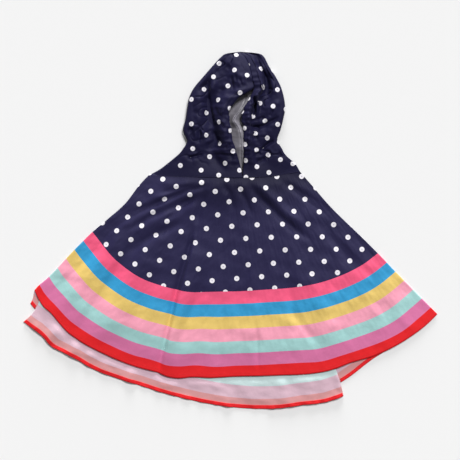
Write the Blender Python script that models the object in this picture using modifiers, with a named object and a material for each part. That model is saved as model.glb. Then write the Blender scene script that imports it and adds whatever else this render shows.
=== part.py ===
"""A child's hooded rain poncho, laid flat on its back with the front uppermost.

Metres, +Z up. X runs across the garment, Y runs from hem to hood, and the cloth rests on Z = 0.
The front and back are sectors of rings about one apex, which lies inside the hood. A place on a
panel is given by `across`, 0 at the left side seam and 1 at the right one, and by its radius.
"""

import math
from collections import namedtuple

import bpy
import numpy as np

# ---- driving sizes -------------------------------------------------------------------------
CLOTH = 0.0010          # one layer of cloth
SEAM_GAP = 0.0003       # between pieces that are sewn together or lie on each other
LAYER = CLOTH + SEAM_GAP
APEX_X, APEX_Y = 0.0432, 0.3941
HEM_TURN = 0.009        # width of the hem turned up on the inside of the back

# ---- outline of the body, seen from above ---------------------------------------------------
SidePoint = namedtuple("SidePoint", "radius left_angle right_angle")
SIDES = (                       # where the side seams lie, in degrees from straight down
    SidePoint(0.270, -41.6, 25.6),
    SidePoint(0.330, -42.1, 28.3),
    SidePoint(0.385, -42.3, 30.1),
    SidePoint(0.440, -41.7, 32.0),
    SidePoint(0.495, -42.4, 33.6),
    SidePoint(0.547, -43.1, 34.7),
    SidePoint(0.600, -43.3, 35.5),
    SidePoint(0.700, -43.35, 36.8),
    SidePoint(0.735, -43.6, 37.2),
    SidePoint(0.745, -43.5, 37.3),
    SidePoint(0.757, -42.9, 37.3),
    SidePoint(0.775, -42.5, 37.3),
    SidePoint(0.830, -42.8, 37.3),
)

NeckPoint = namedtuple("NeckPoint", "angle depth")
NECK_LINE = (                   # how far the neck seam lies below the apex
    NeckPoint(-42.0, 0.2630),
    NeckPoint(-20.0, 0.2665),
    NeckPoint(0.0, 0.2670),
    NeckPoint(14.0, 0.2630),
    NeckPoint(26.0, 0.2530),
)

HemPoint = namedtuple("HemPoint", "across radius")
FRONT_HEM = (
    HemPoint(0.000, 0.7430),
    HemPoint(0.030, 0.7565),
    HemPoint(0.055, 0.7585),
    HemPoint(0.105, 0.7705),
    HemPoint(0.130, 0.7725),
    HemPoint(0.204, 0.7720),
    HemPoint(0.279, 0.7700),
    HemPoint(0.328, 0.7670),
    HemPoint(0.353, 0.7700),
    HemPoint(0.403, 0.7595),
    HemPoint(0.453, 0.7535),
    HemPoint(0.502, 0.7465),
    HemPoint(0.552, 0.7440),
    HemPoint(0.627, 0.7470),
    HemPoint(0.700, 0.7550),
    HemPoint(0.776, 0.7535),
    HemPoint(0.850, 0.7590),
    HemPoint(0.925, 0.7570),
    HemPoint(1.000, 0.7487),
)

# The back is cut fuller than the front. The spare cloth lies in one knife pleat at each side.
BackPoint = namedtuple("BackPoint", "name across layer hem_radius")
BACK_PATH = (           # left seam to right seam; layer is that of the stretch that starts here
    BackPoint("left_seam", 0.000, 0, 0.7730),
    BackPoint("left_inner_fold", 0.155, 1, 0.8000),
    BackPoint("left_outer_fold", 0.018, 2, 0.8155),
    BackPoint("upper", 0.047, 2, 0.8130),
    BackPoint("upper", 0.097, 2, 0.8205),
    BackPoint("upper", 0.147, 2, 0.8150),
    BackPoint("upper", 0.197, 2, 0.8160),
    BackPoint("upper", 0.270, 2, 0.8105),
    BackPoint("upper", 0.340, 2, 0.8095),
    BackPoint("upper", 0.420, 2, 0.8130),
    BackPoint("upper", 0.500, 2, 0.8190),
    BackPoint("upper", 0.580, 2, 0.8235),
    BackPoint("upper", 0.650, 2, 0.8235),
    BackPoint("upper", 0.697, 2, 0.8268),
    BackPoint("right_outer_fold", 0.735, 1, 0.8240),
    BackPoint("right_inner_fold", 0.614, 0, 0.8000),
    BackPoint("lower", 0.737, 0, 0.7910),
    BackPoint("lower", 0.830, 0, 0.7620),
    BackPoint("right_seam", 1.000, 0, 0.7490),
)
HemStrip = namedtuple("HemStrip", "name stretch start end")
HEM_STRIPS = (                          # the turned hem, where it lies bare; stretches count from 0
    HemStrip("back_hem_fold_left", 0, 0.002, 0.0135),
    HemStrip("back_hem_fold", 2, 0.0225, 0.731),
    HemStrip("back_hem_fold_right", 4, 0.742, 0.920),
)
HEM_INSET = 0.0004                      # the turned hem stops just inside the fold
HEM_LIFT_START, HEM_LIFT_FULL = 0.66, 0.73
BEND_SPREAD = 0.004                     # across that one rounded fold takes up when spread flat
LEVEL_START, LEVEL_FULL = 0.36, 0.46    # radii between which the pleats' layers part
PLEAT_START, PLEAT_FULL = 0.42, 0.64    # radii between which the pleats grow to full depth
SAG = (0.170, 0.240, 0.535, 0.600)      # across: the back rests on the floor between 2nd and 3rd
DRAPE_WIDER = 0.014                     # the front spans a little more than the back's slopes
LEVEL_EARLIER = 0.035
DRAPE_EASE = 0.00015
COVER_LEFT, COVER_RIGHT = (-0.020, 0.008), (0.745, 0.800)   # across: where the front climbs the pleats
STRIP_LIFT_RISE, STRIP_LIFT_FALL = (0.745, 0.790), (0.930, 0.970)
FLAT_AT_SIDE, FLAT_AT_NECK = 0.05, 0.10

# ---- folds that stand in the cloth -----------------------------------------------------------
Fold = namedtuple("Fold", "x0 y0 x1 y1 half_width height")
FRONT_FOLDS = (
    Fold(-0.118, -0.060, -0.172, -0.365, 0.017, 0.0055),    # long crease left of the middle
    Fold(0.000, -0.205, -0.020, -0.360, 0.016, 0.0030),
    Fold(0.066, -0.180, 0.076, -0.360, 0.018, 0.0034),
    Fold(0.250, -0.150, 0.286, -0.300, 0.022, 0.0030),
    Fold(-0.282, -0.105, -0.372, -0.245, 0.020, 0.0045),    # waves of the left hem
    Fold(-0.350, -0.080, -0.436, -0.180, 0.017, 0.0040),
    Fold(-0.212, -0.130, -0.268, -0.320, 0.022, 0.0040),
    Fold(0.360, -0.080, 0.420, -0.210, 0.022, 0.0032),
    Fold(-0.195, 0.046, -0.060, 0.100, 0.014, 0.0042),      # drag folds that run from the neck
    Fold(-0.165, 0.104, -0.085, 0.112, 0.011, 0.0030),
    Fold(0.046, 0.112, 0.205, 0.010, 0.013, 0.0046),
    Fold(0.110, 0.112, 0.215, 0.060, 0.012, 0.0030),
)
HOOD_FOLDS = (
    Fold(0.034, 0.240, 0.118, 0.272, 0.007, -0.0060),       # creases of the right side
    Fold(0.058, 0.182, 0.106, 0.220, 0.007, -0.0060),
    Fold(0.084, 0.372, 0.094, 0.300, 0.008, -0.0050),
    Fold(-0.080, 0.262, -0.070, 0.188, 0.009, -0.0050),     # creases of the left side
    Fold(-0.105, 0.214, -0.064, 0.226, 0.008, -0.0040),
    Fold(-0.110, 0.162, -0.046, 0.176, 0.008, 0.0030),
    Fold(0.020, 0.398, 0.052, 0.352, 0.010, 0.0030),
)

# ---- the hood, section by section from the neck seam to the crown ----------------------------
HoodSection = namedtuple(
    "HoodSection",
    "centre_x centre_y left_x left_y right_x right_y slit turn ridge valley puff edge",
)
HOOD = (        # places in metres, turn of the opening's edge in degrees, heights in metres
    HoodSection(.0300, .1270, -.1920, .1270, .1668, .1270, .0000, 4, .0103, .008, .005, .00115),
    HoodSection(.0288, .1493, -.1560, .1565, .1560, .1565, .0006, 40, .0145, .009, .009, .0032),
    HoodSection(.0252, .1733, -.1248, .1805, .1332, .1805, .0050, 85, .0200, .013, .011, .0042),
    HoodSection(.0226, .1925, -.1128, .1949, .1248, .1949, .0090, 105, .0240, .013, .013, .0054),
    HoodSection(.0192, .2141, -.1032, .2129, .1135, .2165, .0122, 105, .0270, .013, .015, .0066),
    HoodSection(.0173, .2405, -.1128, .2381, .1212, .2405, .0137, 105, .0290, .014, .018, .0080),
    HoodSection(.0130, .2630, -.1068, .2645, .1284, .2693, .0142, 105, .0310, .014, .020, .0090),
    HoodSection(.0154, .2851, -.1032, .2885, .1320, .2909, .0152, 105, .0320, .015, .021, .0090),
    HoodSection(.0319, .3125, -.0984, .3149, .1296, .3149, .0130, 90, .0320, .016, .021, .0090),
    HoodSection(.0560, .3377, -.0876, .3389, .1224, .3413, .0008, 30, .0300, .014, .020, .0088),
    HoodSection(.0530, .3605, -.0648, .3665, .1104, .3653, .0000, 6, .0265, .016, .018, .0084),
    HoodSection(.0470, .3893, -.0408, .3941, .0936, .3917, .0000, 6, .0215, .016, .016, .0080),
    HoodSection(.0380, .4109, -.0228, .4133, .0816, .4145, .0000, 6, .0150, .013, .013, .0076),
    HoodSection(.0300, .4205, -.0096, .4222, .0672, .4229, .0000, 6, .0100, .010, .010, .0070),
    HoodSection(.0240, .4274, .0215, .4274, .0265, .4274, .0000, 6, .0034, .0034, .0034, .0017),
)
HOOD_SLIT_END = 9           # the row of HOOD where the face opening ends
BACK_SEAM_X = 0.0240        # the seam down the back of the head, under the hood
UNDER_NECK_GAP = 0.0007     # the hood's under layer stops this much shorter at the neck seam
NECK_ROWS = 2.0             # rows over which the hood takes up the line of the neck seam
LIFT_REACH = 0.32           # how far down the front that lift dies away
BRIM_STRIP = 0.014          # width of the casing that turns down into the face opening
RIDGE_AT, VALLEY_AT, PUFF_AT = 0.10, {"left": 0.40, "right": 0.48}, 0.70
PUCKERS = 8                 # gathers on each side of the face opening
PUCKER_HEIGHT = 0.0016
PUCKER_RISE, PUCKER_FALL = (0.3, 1.5), (7.5, 9.0)    # rows of HOOD
BRIM_START = 0.93           # height of the casing's fold, as a share of the brim's ridge
CREASE_RISE, CREASE_FALL = (0.0, 0.12), (0.86, 1.0)     # shares of the cheek that creases cross
PUCKER_REACH = 0.30         # how far over the hood's side the gathers die away
NECK_LIFT = 0.0080          # the hood's hollow lifts the front at the middle of the neck seam

# ---- how finely the cloth is divided ---------------------------------------------------------
FRONT_ROWS, FRONT_COLUMNS = 13, 56
BACK_ROWS, BACK_COLUMNS = 12, 44
HEM_ROWS, HEM_COLUMNS = 1, 44
HOOD_ROWS_SLIT, HOOD_ROWS_CROWN = 24, 8
STRIP_STEPS, TOP_STEPS, ROUND_STEPS, UNDER_STEPS = 3, 10, 4, 3
BEND_STEPS = 4
NECK_SAMPLES = 200

CLOTH_ROUGHNESS = 0.55
NAVY = (0.030, 0.028, 0.070)
RED = (0.78, 0.040, 0.050)
LILAC = (0.72, 0.55, 0.62)


def smoothstep(value, low=0.0, high=1.0):
    """0 below low, 1 above high, and a smooth rise between them."""
    t = np.clip((value - low) / (high - low), 0.0, 1.0)
    return t * t * (3.0 - 2.0 * t)


def through(x, xs, ys):
    """A smooth curve through the points (xs, ys), by cubic pieces with averaged slopes."""
    x, xs, ys = np.asarray(x, float), np.asarray(xs, float), np.asarray(ys, float)
    slope = np.gradient(ys, xs)
    i = np.clip(np.searchsorted(xs, x) - 1, 0, len(xs) - 2)
    step = xs[i + 1] - xs[i]
    t = np.clip((x - xs[i]) / step, 0.0, 1.0)
    return (
        (1 + 2 * t) * (1 - t) ** 2 * ys[i]
        + t * (1 - t) ** 2 * step * slope[i]
        + t * t * (3 - 2 * t) * ys[i + 1]
        - t * t * (1 - t) * step * slope[i + 1]
    )


def column(table, name):
    """One named column of a table, as an array."""
    return np.array([getattr(row, name) for row in table])


def fold_height(folds, x, y):
    """Height that the folds add at a place: a soft ridge along each fold's line, faded at its ends."""
    total = np.zeros(np.broadcast(x, y).shape)
    for fold in folds:
        dx, dy = fold.x1 - fold.x0, fold.y1 - fold.y0
        along = ((x - fold.x0) * dx + (y - fold.y0) * dy) / (dx * dx + dy * dy)
        away = np.hypot(x - fold.x0 - along * dx, y - fold.y0 - along * dy)
        fade = smoothstep(along, -0.05, 0.30) * (1.0 - smoothstep(along, 0.75, 1.05))
        total += fold.height * np.exp(-((away / fold.half_width) ** 2)) * fade
    return total


def cloth_material(name, colour):
    """Plain woven cloth with a faint sheen of its coating."""
    material = bpy.data.materials.new(name)
    material.use_nodes = True
    shader = material.node_tree.nodes["Principled BSDF"]
    shader.inputs["Base Color"].default_value = (*colour, 1.0)
    shader.inputs["Roughness"].default_value = CLOTH_ROUGHNESS
    shader.inputs["Metallic"].default_value = 0.0
    return material


def cloth_object(name, points, side, collection, colour):
    """A piece of cloth through a grid of points. Solidify gives the wall: side is -1 where the
    points are the cloth's upper or outer face and 0 where they run through its middle."""
    rows, columns = points.shape[:2]
    faces = [
        (i * columns + j, i * columns + j + 1, (i + 1) * columns + j + 1, (i + 1) * columns + j)
        for i in range(rows - 1)
        for j in range(columns - 1)
    ]
    mesh = bpy.data.meshes.new(name)
    mesh.from_pydata(points.reshape(-1, 3).tolist(), [], faces)
    mesh.shade_smooth()
    mesh.materials.append(cloth_material(name + "_cloth", colour))
    piece = bpy.data.objects.new(name, mesh)
    collection.objects.link(piece)
    wall = piece.modifiers.new("wall", "SOLIDIFY")
    wall.thickness = CLOTH
    wall.offset = side
    wall.use_quality_normals = True
    return piece


# ---- the body ----------------------------------------------------------------------------------
def side_angle(across, radius):
    """Angle from straight down, in degrees, of a place `across` the body at that radius."""
    left = through(radius, column(SIDES, "radius"), column(SIDES, "left_angle"))
    right = through(radius, column(SIDES, "radius"), column(SIDES, "right_angle"))
    return left + across * (right - left)


def neck_radius(across):
    """Radius of the neck seam, which runs nearly straight across."""
    angle = NECK_LINE[0].angle + across * (NECK_LINE[-1].angle - NECK_LINE[0].angle)
    depth = through(angle, column(NECK_LINE, "angle"), column(NECK_LINE, "depth"))
    return depth / np.cos(np.radians(angle))


def neck_y(x):
    """Y of the neck seam at that x."""
    across = np.linspace(-0.05, 1.05, NECK_SAMPLES)
    seam_x, seam_y = place(across, neck_radius(across))
    return np.interp(x, seam_x, seam_y)


def neck_height(x):
    """Height of the outside of the upper layer along the neck seam."""
    share = np.clip((x - HOOD[0].left_x) / (HOOD[0].right_x - HOOD[0].left_x), 0.0, 1.0)
    return 2 * CLOTH + SEAM_GAP + NECK_LIFT * np.sin(math.pi * share) ** 2


def place(across, radius):
    """X and Y of a place on the body."""
    angle = np.radians(side_angle(across, radius))
    return APEX_X + radius * np.sin(angle), APEX_Y - radius * np.cos(angle)


def share_of_layers(across):
    """1 where the back's upper stretch lies on its pleats, 0 where it rests on the floor."""
    return 1.0 - smoothstep(across, SAG[0], SAG[1]) + smoothstep(across, SAG[2], SAG[3])


def front_cover(across):
    """How many layers of the back the front passes over, smoothed so that it drapes."""
    over_left = smoothstep(across, *COVER_LEFT)
    over_left = over_left * (1.0 - smoothstep(across, SAG[0] + DRAPE_WIDER, SAG[1] + DRAPE_WIDER))
    over_right = smoothstep(across, SAG[2] - DRAPE_WIDER, SAG[3] - DRAPE_WIDER)
    over_right = over_right * (1.0 - smoothstep(across, *COVER_RIGHT))
    return 2.0 * (over_left + over_right)


def hem_strip_cover(across, radius):
    """Lift of the front, in layers, over the end of the back's turned hem at the right."""
    over = smoothstep(across, *STRIP_LIFT_RISE) * (1.0 - smoothstep(across, *STRIP_LIFT_FALL))
    return over * smoothstep(radius, HEM_LIFT_START, HEM_LIFT_FULL)


def make_front(collection):
    """The front panel, from the neck seam to its hem, over the back."""
    down, across = np.meshgrid(
        np.linspace(0.0, 1.0, FRONT_ROWS + 1), np.linspace(0.0, 1.0, FRONT_COLUMNS + 1), indexing="ij"
    )
    neck = neck_radius(across) + SEAM_GAP / 2
    hem = through(across, column(FRONT_HEM, "across"), column(FRONT_HEM, "radius"))
    radius = neck + down * (hem - neck)
    x, y = place(across, radius)
    parted = smoothstep(radius, LEVEL_START - LEVEL_EARLIER, LEVEL_FULL - LEVEL_EARLIER)
    lifted = (neck_height(x) - neck_height(HOOD[0].left_x)) * (1.0 - smoothstep(down, 0.0, LIFT_REACH))
    inside = smoothstep(across, 0.0, FLAT_AT_SIDE) * smoothstep(1.0 - across, 0.0, FLAT_AT_SIDE)
    folds = fold_height(FRONT_FOLDS, x, y) * inside * smoothstep(down, 0.0, FLAT_AT_NECK)
    cover = np.maximum(front_cover(across) * parted, hem_strip_cover(across, radius))
    z = LAYER * cover + DRAPE_EASE * parted + 2 * CLOTH + SEAM_GAP + lifted + folds
    return cloth_object("front_panel", np.stack([x, y, z], -1)[:, ::-1], -1.0, collection, NAVY)


def back_columns():
    """The back's path from seam to seam, one row for each column of its grid: across as folded,
    across as spread flat, height in layers, hem radius, and the fold's small step sideways."""
    stations = []
    spread = 0.0
    for point, following in zip(BACK_PATH, BACK_PATH[1:]):
        length = abs(following.across - point.across)
        steps = max(2, round(length * BACK_COLUMNS))
        for step in range(0 if point is BACK_PATH[0] else 1, steps + 1):
            share = step / steps
            stations.append((
                point.across + share * (following.across - point.across),
                spread + share * length,
                point.layer,
                point.hem_radius + share * (following.hem_radius - point.hem_radius),
                0.0,
            ))
        spread += length
        rise = following.layer - point.layer
        if rise:
            way = math.copysign(LAYER / 2, following.across - point.across)
            for step in range(1, BEND_STEPS + 1):
                turn = math.pi * step / BEND_STEPS
                layer = point.layer + rise * (1.0 - math.cos(turn)) / 2
                spread += BEND_SPREAD / BEND_STEPS
                stations.append(
                    (following.across, spread, layer, following.hem_radius, way * math.sin(turn))
                )
    table = np.array(stations)
    table[:, 1] /= spread
    return table.T


def back_surface():
    """The middle of the back's cloth as a grid of points, from the neck seam down to the hem."""
    folded, spread, layer, hem, step_aside = back_columns()
    neck = neck_radius(spread) + SEAM_GAP / 2
    down = np.linspace(0.0, 1.0, BACK_ROWS + 1)[:, None]
    radius = neck + down * (hem - neck)
    pleated = smoothstep(radius, PLEAT_START, PLEAT_FULL)
    parted = smoothstep(radius, LEVEL_START, LEVEL_FULL)
    across = spread + pleated * (folded - spread)
    x, y = place(across, radius)
    upper = np.clip(layer - 1.0, 0.0, 1.0)
    resting = layer * (1.0 - upper * (1.0 - share_of_layers(across)))
    z = CLOTH / 2 + LAYER * resting * parted
    return np.stack([x + step_aside * pleated, y, z], -1)


def make_back(collection):
    """The back panel with its two knife pleats, lying on the floor."""
    return cloth_object("back_panel", back_surface()[:, ::-1], 0.0, collection, LILAC)


def stretches():
    """The back's path cut at its folds: for each stretch in turn, the points that it runs through."""
    runs = [[BACK_PATH[0]]]
    for point in BACK_PATH[1:]:
        runs[-1].append(point)
        if point.layer != runs[-1][0].layer:
            runs.append([point])
    return runs


def make_hem_strips(collection):
    """The hem that is turned up on the inside of the back, where it shows."""
    runs = stretches()
    for strip in HEM_STRIPS:
        run = runs[strip.stretch]
        layer = run[0].layer
        across = np.linspace(strip.start, strip.end, max(3, round((strip.end - strip.start) * HEM_COLUMNS)))
        hem = through(across, column(run, "across"), column(run, "hem_radius"))
        radius = hem - np.linspace(HEM_TURN, HEM_INSET, HEM_ROWS + 1)[:, None]
        x, y = place(across, radius)
        base = layer * LAYER * share_of_layers(across)
        z = np.broadcast_to(base + LAYER + CLOTH, x.shape)
        cloth_object(strip.name, np.stack([x, y, z], -1)[:, ::-1], -1.0, collection, RED)


# ---- the hood ------------------------------------------------------------------------------------
def hood_rows():
    """Where the hood's sections are taken, as places in the HOOD table."""
    lower = np.linspace(0.0, HOOD_SLIT_END, HOOD_ROWS_SLIT + 1)
    upper = np.linspace(HOOD_SLIT_END, len(HOOD) - 1, HOOD_ROWS_CROWN + 1)[1:]
    return np.concatenate([lower, upper])


def hood_value(name, rows):
    """One column of the HOOD table, smoothed along the hood."""
    return through(rows, np.arange(len(HOOD)), column(HOOD, name))


def casing_curve(turn):
    """The turned edge as steps from the brim's fold to its free edge: along and up, in widths."""
    share = (np.arange(STRIP_STEPS) + 1.0) / STRIP_STEPS
    along = -np.cumsum(np.cos(turn * share)) / STRIP_STEPS
    up = -np.cumsum(np.sin(turn * share)) / STRIP_STEPS
    return along[::-1], up[::-1]


def hood_section(side, row):
    """The outer face of one section of one side: from the free edge inside the face opening,
    over the brim, the valley and the puffed cheek, round the outer edge and back underneath."""
    centre = np.array([hood_value("centre_x", row), hood_value("centre_y", row)])
    outer = np.array([hood_value(side + "_x", row), hood_value(side + "_y", row)])
    length = float(np.hypot(*(outer - centre)))
    forward = (outer - centre) / length
    slit = max(float(hood_value("slit", row)), SEAM_GAP / 2)
    turn = math.radians(max(float(hood_value("turn", row)), 0.0))
    edge = float(hood_value("edge", row))
    ridge, valley, puff = (float(hood_value(name, row)) for name in ("ridge", "valley", "puff"))

    width = min(BRIM_STRIP, 0.25 * length)
    strip_along, strip_up = casing_curve(turn)
    brim = slit - width * min(0.0, strip_along.min())
    rounding = min(edge, 0.35 * length)
    shares = np.linspace(0.0, 1.0, TOP_STEPS + 1)
    cheek = brim + shares * (length - rounding - brim)
    knots = (0.0, RIDGE_AT, VALLEY_AT[side], PUFF_AT, 1.0)
    heights = through(shares, knots, (BRIM_START * ridge, ridge, valley, puff, 2 * edge))
    along_slit = smoothstep(row, *PUCKER_RISE) * (1.0 - smoothstep(row, *PUCKER_FALL))
    gather = PUCKER_HEIGHT * math.sin(2 * math.pi * PUCKERS * row / HOOD_SLIT_END) * along_slit
    heights += gather * (1.0 - smoothstep(shares, 0.0, PUCKER_REACH))

    bend = math.pi * (np.arange(1, ROUND_STEPS)) / ROUND_STEPS
    along = np.concatenate([
        brim + width * strip_along,
        cheek,
        length - rounding + rounding * np.sin(bend),
    ])
    up = np.concatenate([
        heights[0] + width * strip_up,
        heights,
        edge + edge * np.cos(bend),
        np.zeros(UNDER_STEPS + 1),
    ])
    is_top = np.concatenate([
        np.zeros(STRIP_STEPS),
        smoothstep(shares, *CREASE_RISE) * (1.0 - smoothstep(shares, *CREASE_FALL)),
        np.zeros(ROUND_STEPS + UNDER_STEPS),
    ])
    back_seam = np.array([BACK_SEAM_X, centre[1]])
    back_length = float(np.hypot(*(outer - back_seam)))
    beneath = (outer - back_seam) / back_length
    under = np.linspace(back_length - rounding, SEAM_GAP / 2, UNDER_STEPS + 1)
    x = np.concatenate([centre[0] + along * forward[0], back_seam[0] + under * beneath[0]])
    y = np.concatenate([centre[1] + along * forward[1], back_seam[1] + under * beneath[1]])
    up = up + fold_height(HOOD_FOLDS, x, y) * is_top
    at_neck = 1.0 - smoothstep(row, 0.0, NECK_ROWS)
    outside = np.where(up > edge, 1.0, 0.0)
    seam = neck_y(x) + SEAM_GAP / 2 + UNDER_NECK_GAP * (1.0 - outside)
    straight = HOOD[0].centre_y + (y - centre[1])
    y = y + at_neck * (seam - straight)
    flat_top = neck_height(x)
    up = up + at_neck * outside * (flat_top - up)
    return np.stack([x, y, up], -1)


def make_hood(collection):
    """Both sides of the hood, which lies on its back with the face opening uppermost."""
    for side in ("left", "right"):
        points = np.stack([hood_section(side, row) for row in hood_rows()])
        if side == "right":
            points = points[:, ::-1]
        cloth_object("hood_" + side, points[:, ::-1], -1.0, collection, NAVY)


def main():
    for old in list(bpy.data.objects):
        bpy.data.objects.remove(old)
    poncho = bpy.data.collections.new("poncho")
    bpy.context.scene.collection.children.link(poncho)
    make_front(poncho)
    make_back(poncho)
    make_hem_strips(poncho)
    make_hood(poncho)


main()
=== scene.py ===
"""Looks of a child's hooded rain poncho, laid flat on its back with the front uppermost.

Metres, +Z up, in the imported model's frame. The front and the back are sectors of rings about one
apex inside the hood, so a place on a panel is given by `across`, from 0 at the left side seam to 1
at the right one, and by its radius from the apex. Each piece is a surface worked out on a grid.
"""

import logging
import math
from dataclasses import dataclass, field, replace
from enum import Enum

import bpy
import numpy as np
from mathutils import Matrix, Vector


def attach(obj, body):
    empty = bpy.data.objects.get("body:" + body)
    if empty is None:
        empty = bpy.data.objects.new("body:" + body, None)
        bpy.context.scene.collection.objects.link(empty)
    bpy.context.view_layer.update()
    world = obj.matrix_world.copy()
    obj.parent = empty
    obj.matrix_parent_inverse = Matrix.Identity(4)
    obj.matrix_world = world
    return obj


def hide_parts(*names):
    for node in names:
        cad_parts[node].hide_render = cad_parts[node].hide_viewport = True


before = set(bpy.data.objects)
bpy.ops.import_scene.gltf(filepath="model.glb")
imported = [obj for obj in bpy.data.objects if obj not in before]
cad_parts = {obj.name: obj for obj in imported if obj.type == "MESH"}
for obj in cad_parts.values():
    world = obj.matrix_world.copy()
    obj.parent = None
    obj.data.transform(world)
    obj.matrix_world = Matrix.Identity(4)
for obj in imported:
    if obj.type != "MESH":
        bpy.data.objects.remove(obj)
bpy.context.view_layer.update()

log = logging.getLogger("poncho")

Array = np.ndarray
Point = tuple[float, float]
Material = bpy.types.Material
Object = bpy.types.Object
Socket = bpy.types.NodeSocket

CLOTH = 0.0006          # one layer of cloth as it is shown
LAYER = 0.0013          # from one layer that lies on another to the next
REST = 0.0010           # height of the inside of the lowest layer
THREAD_LIFT = 0.00012   # how far the middle of a thread lies above the cloth
APEX = (0.0432, 0.3941)     # where the rings of the two panels have their centre
FRONT_STRIPES, BACK_STRIPES = 0.5450, 0.6160    # radii on the cut where the first stripe starts
FRONT_CUT_HEM, BACK_CUT_HEM = 0.7520, 0.8200    # radii of the cut's hem
STRIPE = 0.0300         # width of one printed stripe
INK_EDGE = 0.0003       # softness of a printed edge
DOT_PITCH = 0.0433      # from one printed dot to the next
DOT_STRETCH = (0.5, 1.5)    # shares of the pitch that a step may come to where the print is drawn
TINY = 1e-9             # keeps a division from failing


class Side(Enum):
    """The two sides of the hood, as seen in the picture."""

    LEFT = "left"
    RIGHT = "right"


class Face(Enum):
    """The two faces of the printed cloth, by their finish."""

    PRINTED = "printed polyester"
    COATED = "coated wrong side"


# ---- numbers to shapes ---------------------------------------------------------------------------
def smoothstep(value: Array, low: float = 0.0, high: float = 1.0) -> Array:
    """A rise from 0 at low to 1 at high: three times the square less twice the cube of the share."""
    t = np.clip((value - low) / (high - low), 0.0, 1.0)
    return t * t * (3.0 - 2.0 * t)


def at_least(least: float, share: Array) -> Array:
    """A share from 0 to 1, squeezed evenly so that it runs from the least one to 1."""
    return least + (1.0 - least) * share


def hermite(t: Array, step: Array, low: Array, low_slope: Array, high: Array, high_slope: Array) -> Array:
    """The cubic that has given values and slopes at both ends of a step.

    Args:
        t: share of the way along the step.
        step: the step's length.
        low: the value at its start.
        low_slope: the slope there.
        high: the value at its end.
        high_slope: the slope there.

    Returns:
        The cubic at each share.
    """
    return (
        (1 + 2 * t) * (1 - t) ** 2 * low + t * (1 - t) ** 2 * step * low_slope
        + t * t * (3 - 2 * t) * high - t * t * (1 - t) * step * high_slope
    )


def through(x: Array, xs: Array, ys: Array) -> Array:
    """A smooth curve through points, by cubics whose slopes are averaged over neighbours.

    Args:
        x: where the curve is read.
        xs: rising places of the points.
        ys: values at the points.

    Returns:
        The curve at x.
    """
    x, xs, ys = np.asarray(x, float), np.asarray(xs, float), np.asarray(ys, float)
    slope = np.gradient(ys, xs)
    i = np.clip(np.searchsorted(xs, x) - 1, 0, len(xs) - 2)
    step = xs[i + 1] - xs[i]
    t = np.clip((x - xs[i]) / step, 0.0, 1.0)
    return hermite(t, step, ys[i], slope[i], ys[i + 1], slope[i + 1])


def through_rows(t: Array, knots: Array, values: Array) -> Array:
    """The same kind of curve for many rows at once, each with its own points.

    Args:
        t: places, one row for each curve.
        knots: rising places of the points, one row for each curve.
        values: values at the points, one row for each curve.

    Returns:
        Each row's curve at that row's places.
    """
    rise = np.diff(values, axis=1) / np.diff(knots, axis=1)
    slope = np.concatenate([rise[:, :1], (rise[:, 1:] + rise[:, :-1]) / 2, rise[:, -1:]], axis=1)
    out = np.zeros_like(t)
    for i in range(knots.shape[1] - 1):
        here, after = slice(i, i + 1), slice(i + 1, i + 2)
        start, step = knots[:, here], knots[:, after] - knots[:, here]
        share = np.clip((t - start) / step, 0.0, 1.0)
        piece = hermite(share, step, values[:, here], slope[:, here], values[:, after], slope[:, after])
        out = np.where((t >= start) if i else True, piece, out)
    return out


def pair(x: Array, y: Array, *others: Array) -> Array:
    """Grids of coordinates, stacked last as the coordinates of one grid of places."""
    return np.stack([x, y, *others], -1)


def on_ring(radius: Array, angle: Array) -> Array:
    """Places on a flat cut, from the radius and the angle from straight down about the apex."""
    return pair(radius * np.sin(angle), -radius * np.cos(angle))


@dataclass(frozen=True)
class Fold:
    """A fold or crease that stands in the cloth along a path of a few points.

    Its height at a place is a bell over the distance from the path, faded at both ends.

    Attributes:
        path: points of the path.
        left: width of the bell on the left of the path.
        right: its width on the right.
        height: height of the fold, below zero for a valley.
        fade: share of the path over which each end fades.
        beyond: share of the path by which the fading starts before its end.
    """

    path: tuple[Point, ...]
    left: float
    right: float
    height: float
    fade: float = 0.3
    beyond: float = 0.04

    def field(self, x: Array, y: Array) -> Array:
        """The height that this fold adds at each place.

        Args:
            x: places across.
            y: places along.

        Returns:
            Heights, in metres.
        """
        ends = np.array(self.path)
        lengths = np.hypot(*np.diff(ends, axis=0).T)
        nearest = np.full(np.broadcast(x, y).shape, np.inf)
        width, along = np.full_like(nearest, self.right), np.zeros_like(nearest)
        run = 0.0
        for (ax, ay), (bx, by), length in zip(ends[:-1], ends[1:], lengths):
            dx, dy = (bx - ax) / length, (by - ay) / length
            held = np.clip((x - ax) * dx + (y - ay) * dy, 0.0, length)
            gap = np.hypot(x - ax - held * dx, y - ay - held * dy)
            on_left = dx * (y - ay) - dy * (x - ax) > 0.0
            nearer = gap < nearest
            nearest = np.where(nearer, gap, nearest)
            width = np.where(nearer, np.where(on_left, self.left, self.right), width)
            along = np.where(nearer, run + held, along)
            run += length
        share = along / lengths.sum()
        start = smoothstep(share, -self.beyond, self.fade)
        end = 1.0 - smoothstep(share, 1.0 - self.fade, 1.0 + self.beyond)
        return self.height * np.exp(-((nearest / width) ** 2)) * (start * end)


def fold_sum(folds: tuple["Fold | Crinkle", ...], x: Array, y: Array) -> Array:
    """The heights of several folds or crinkles, added up."""
    return sum((fold.field(x, y) for fold in folds), np.zeros(np.broadcast(x, y).shape))


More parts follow.
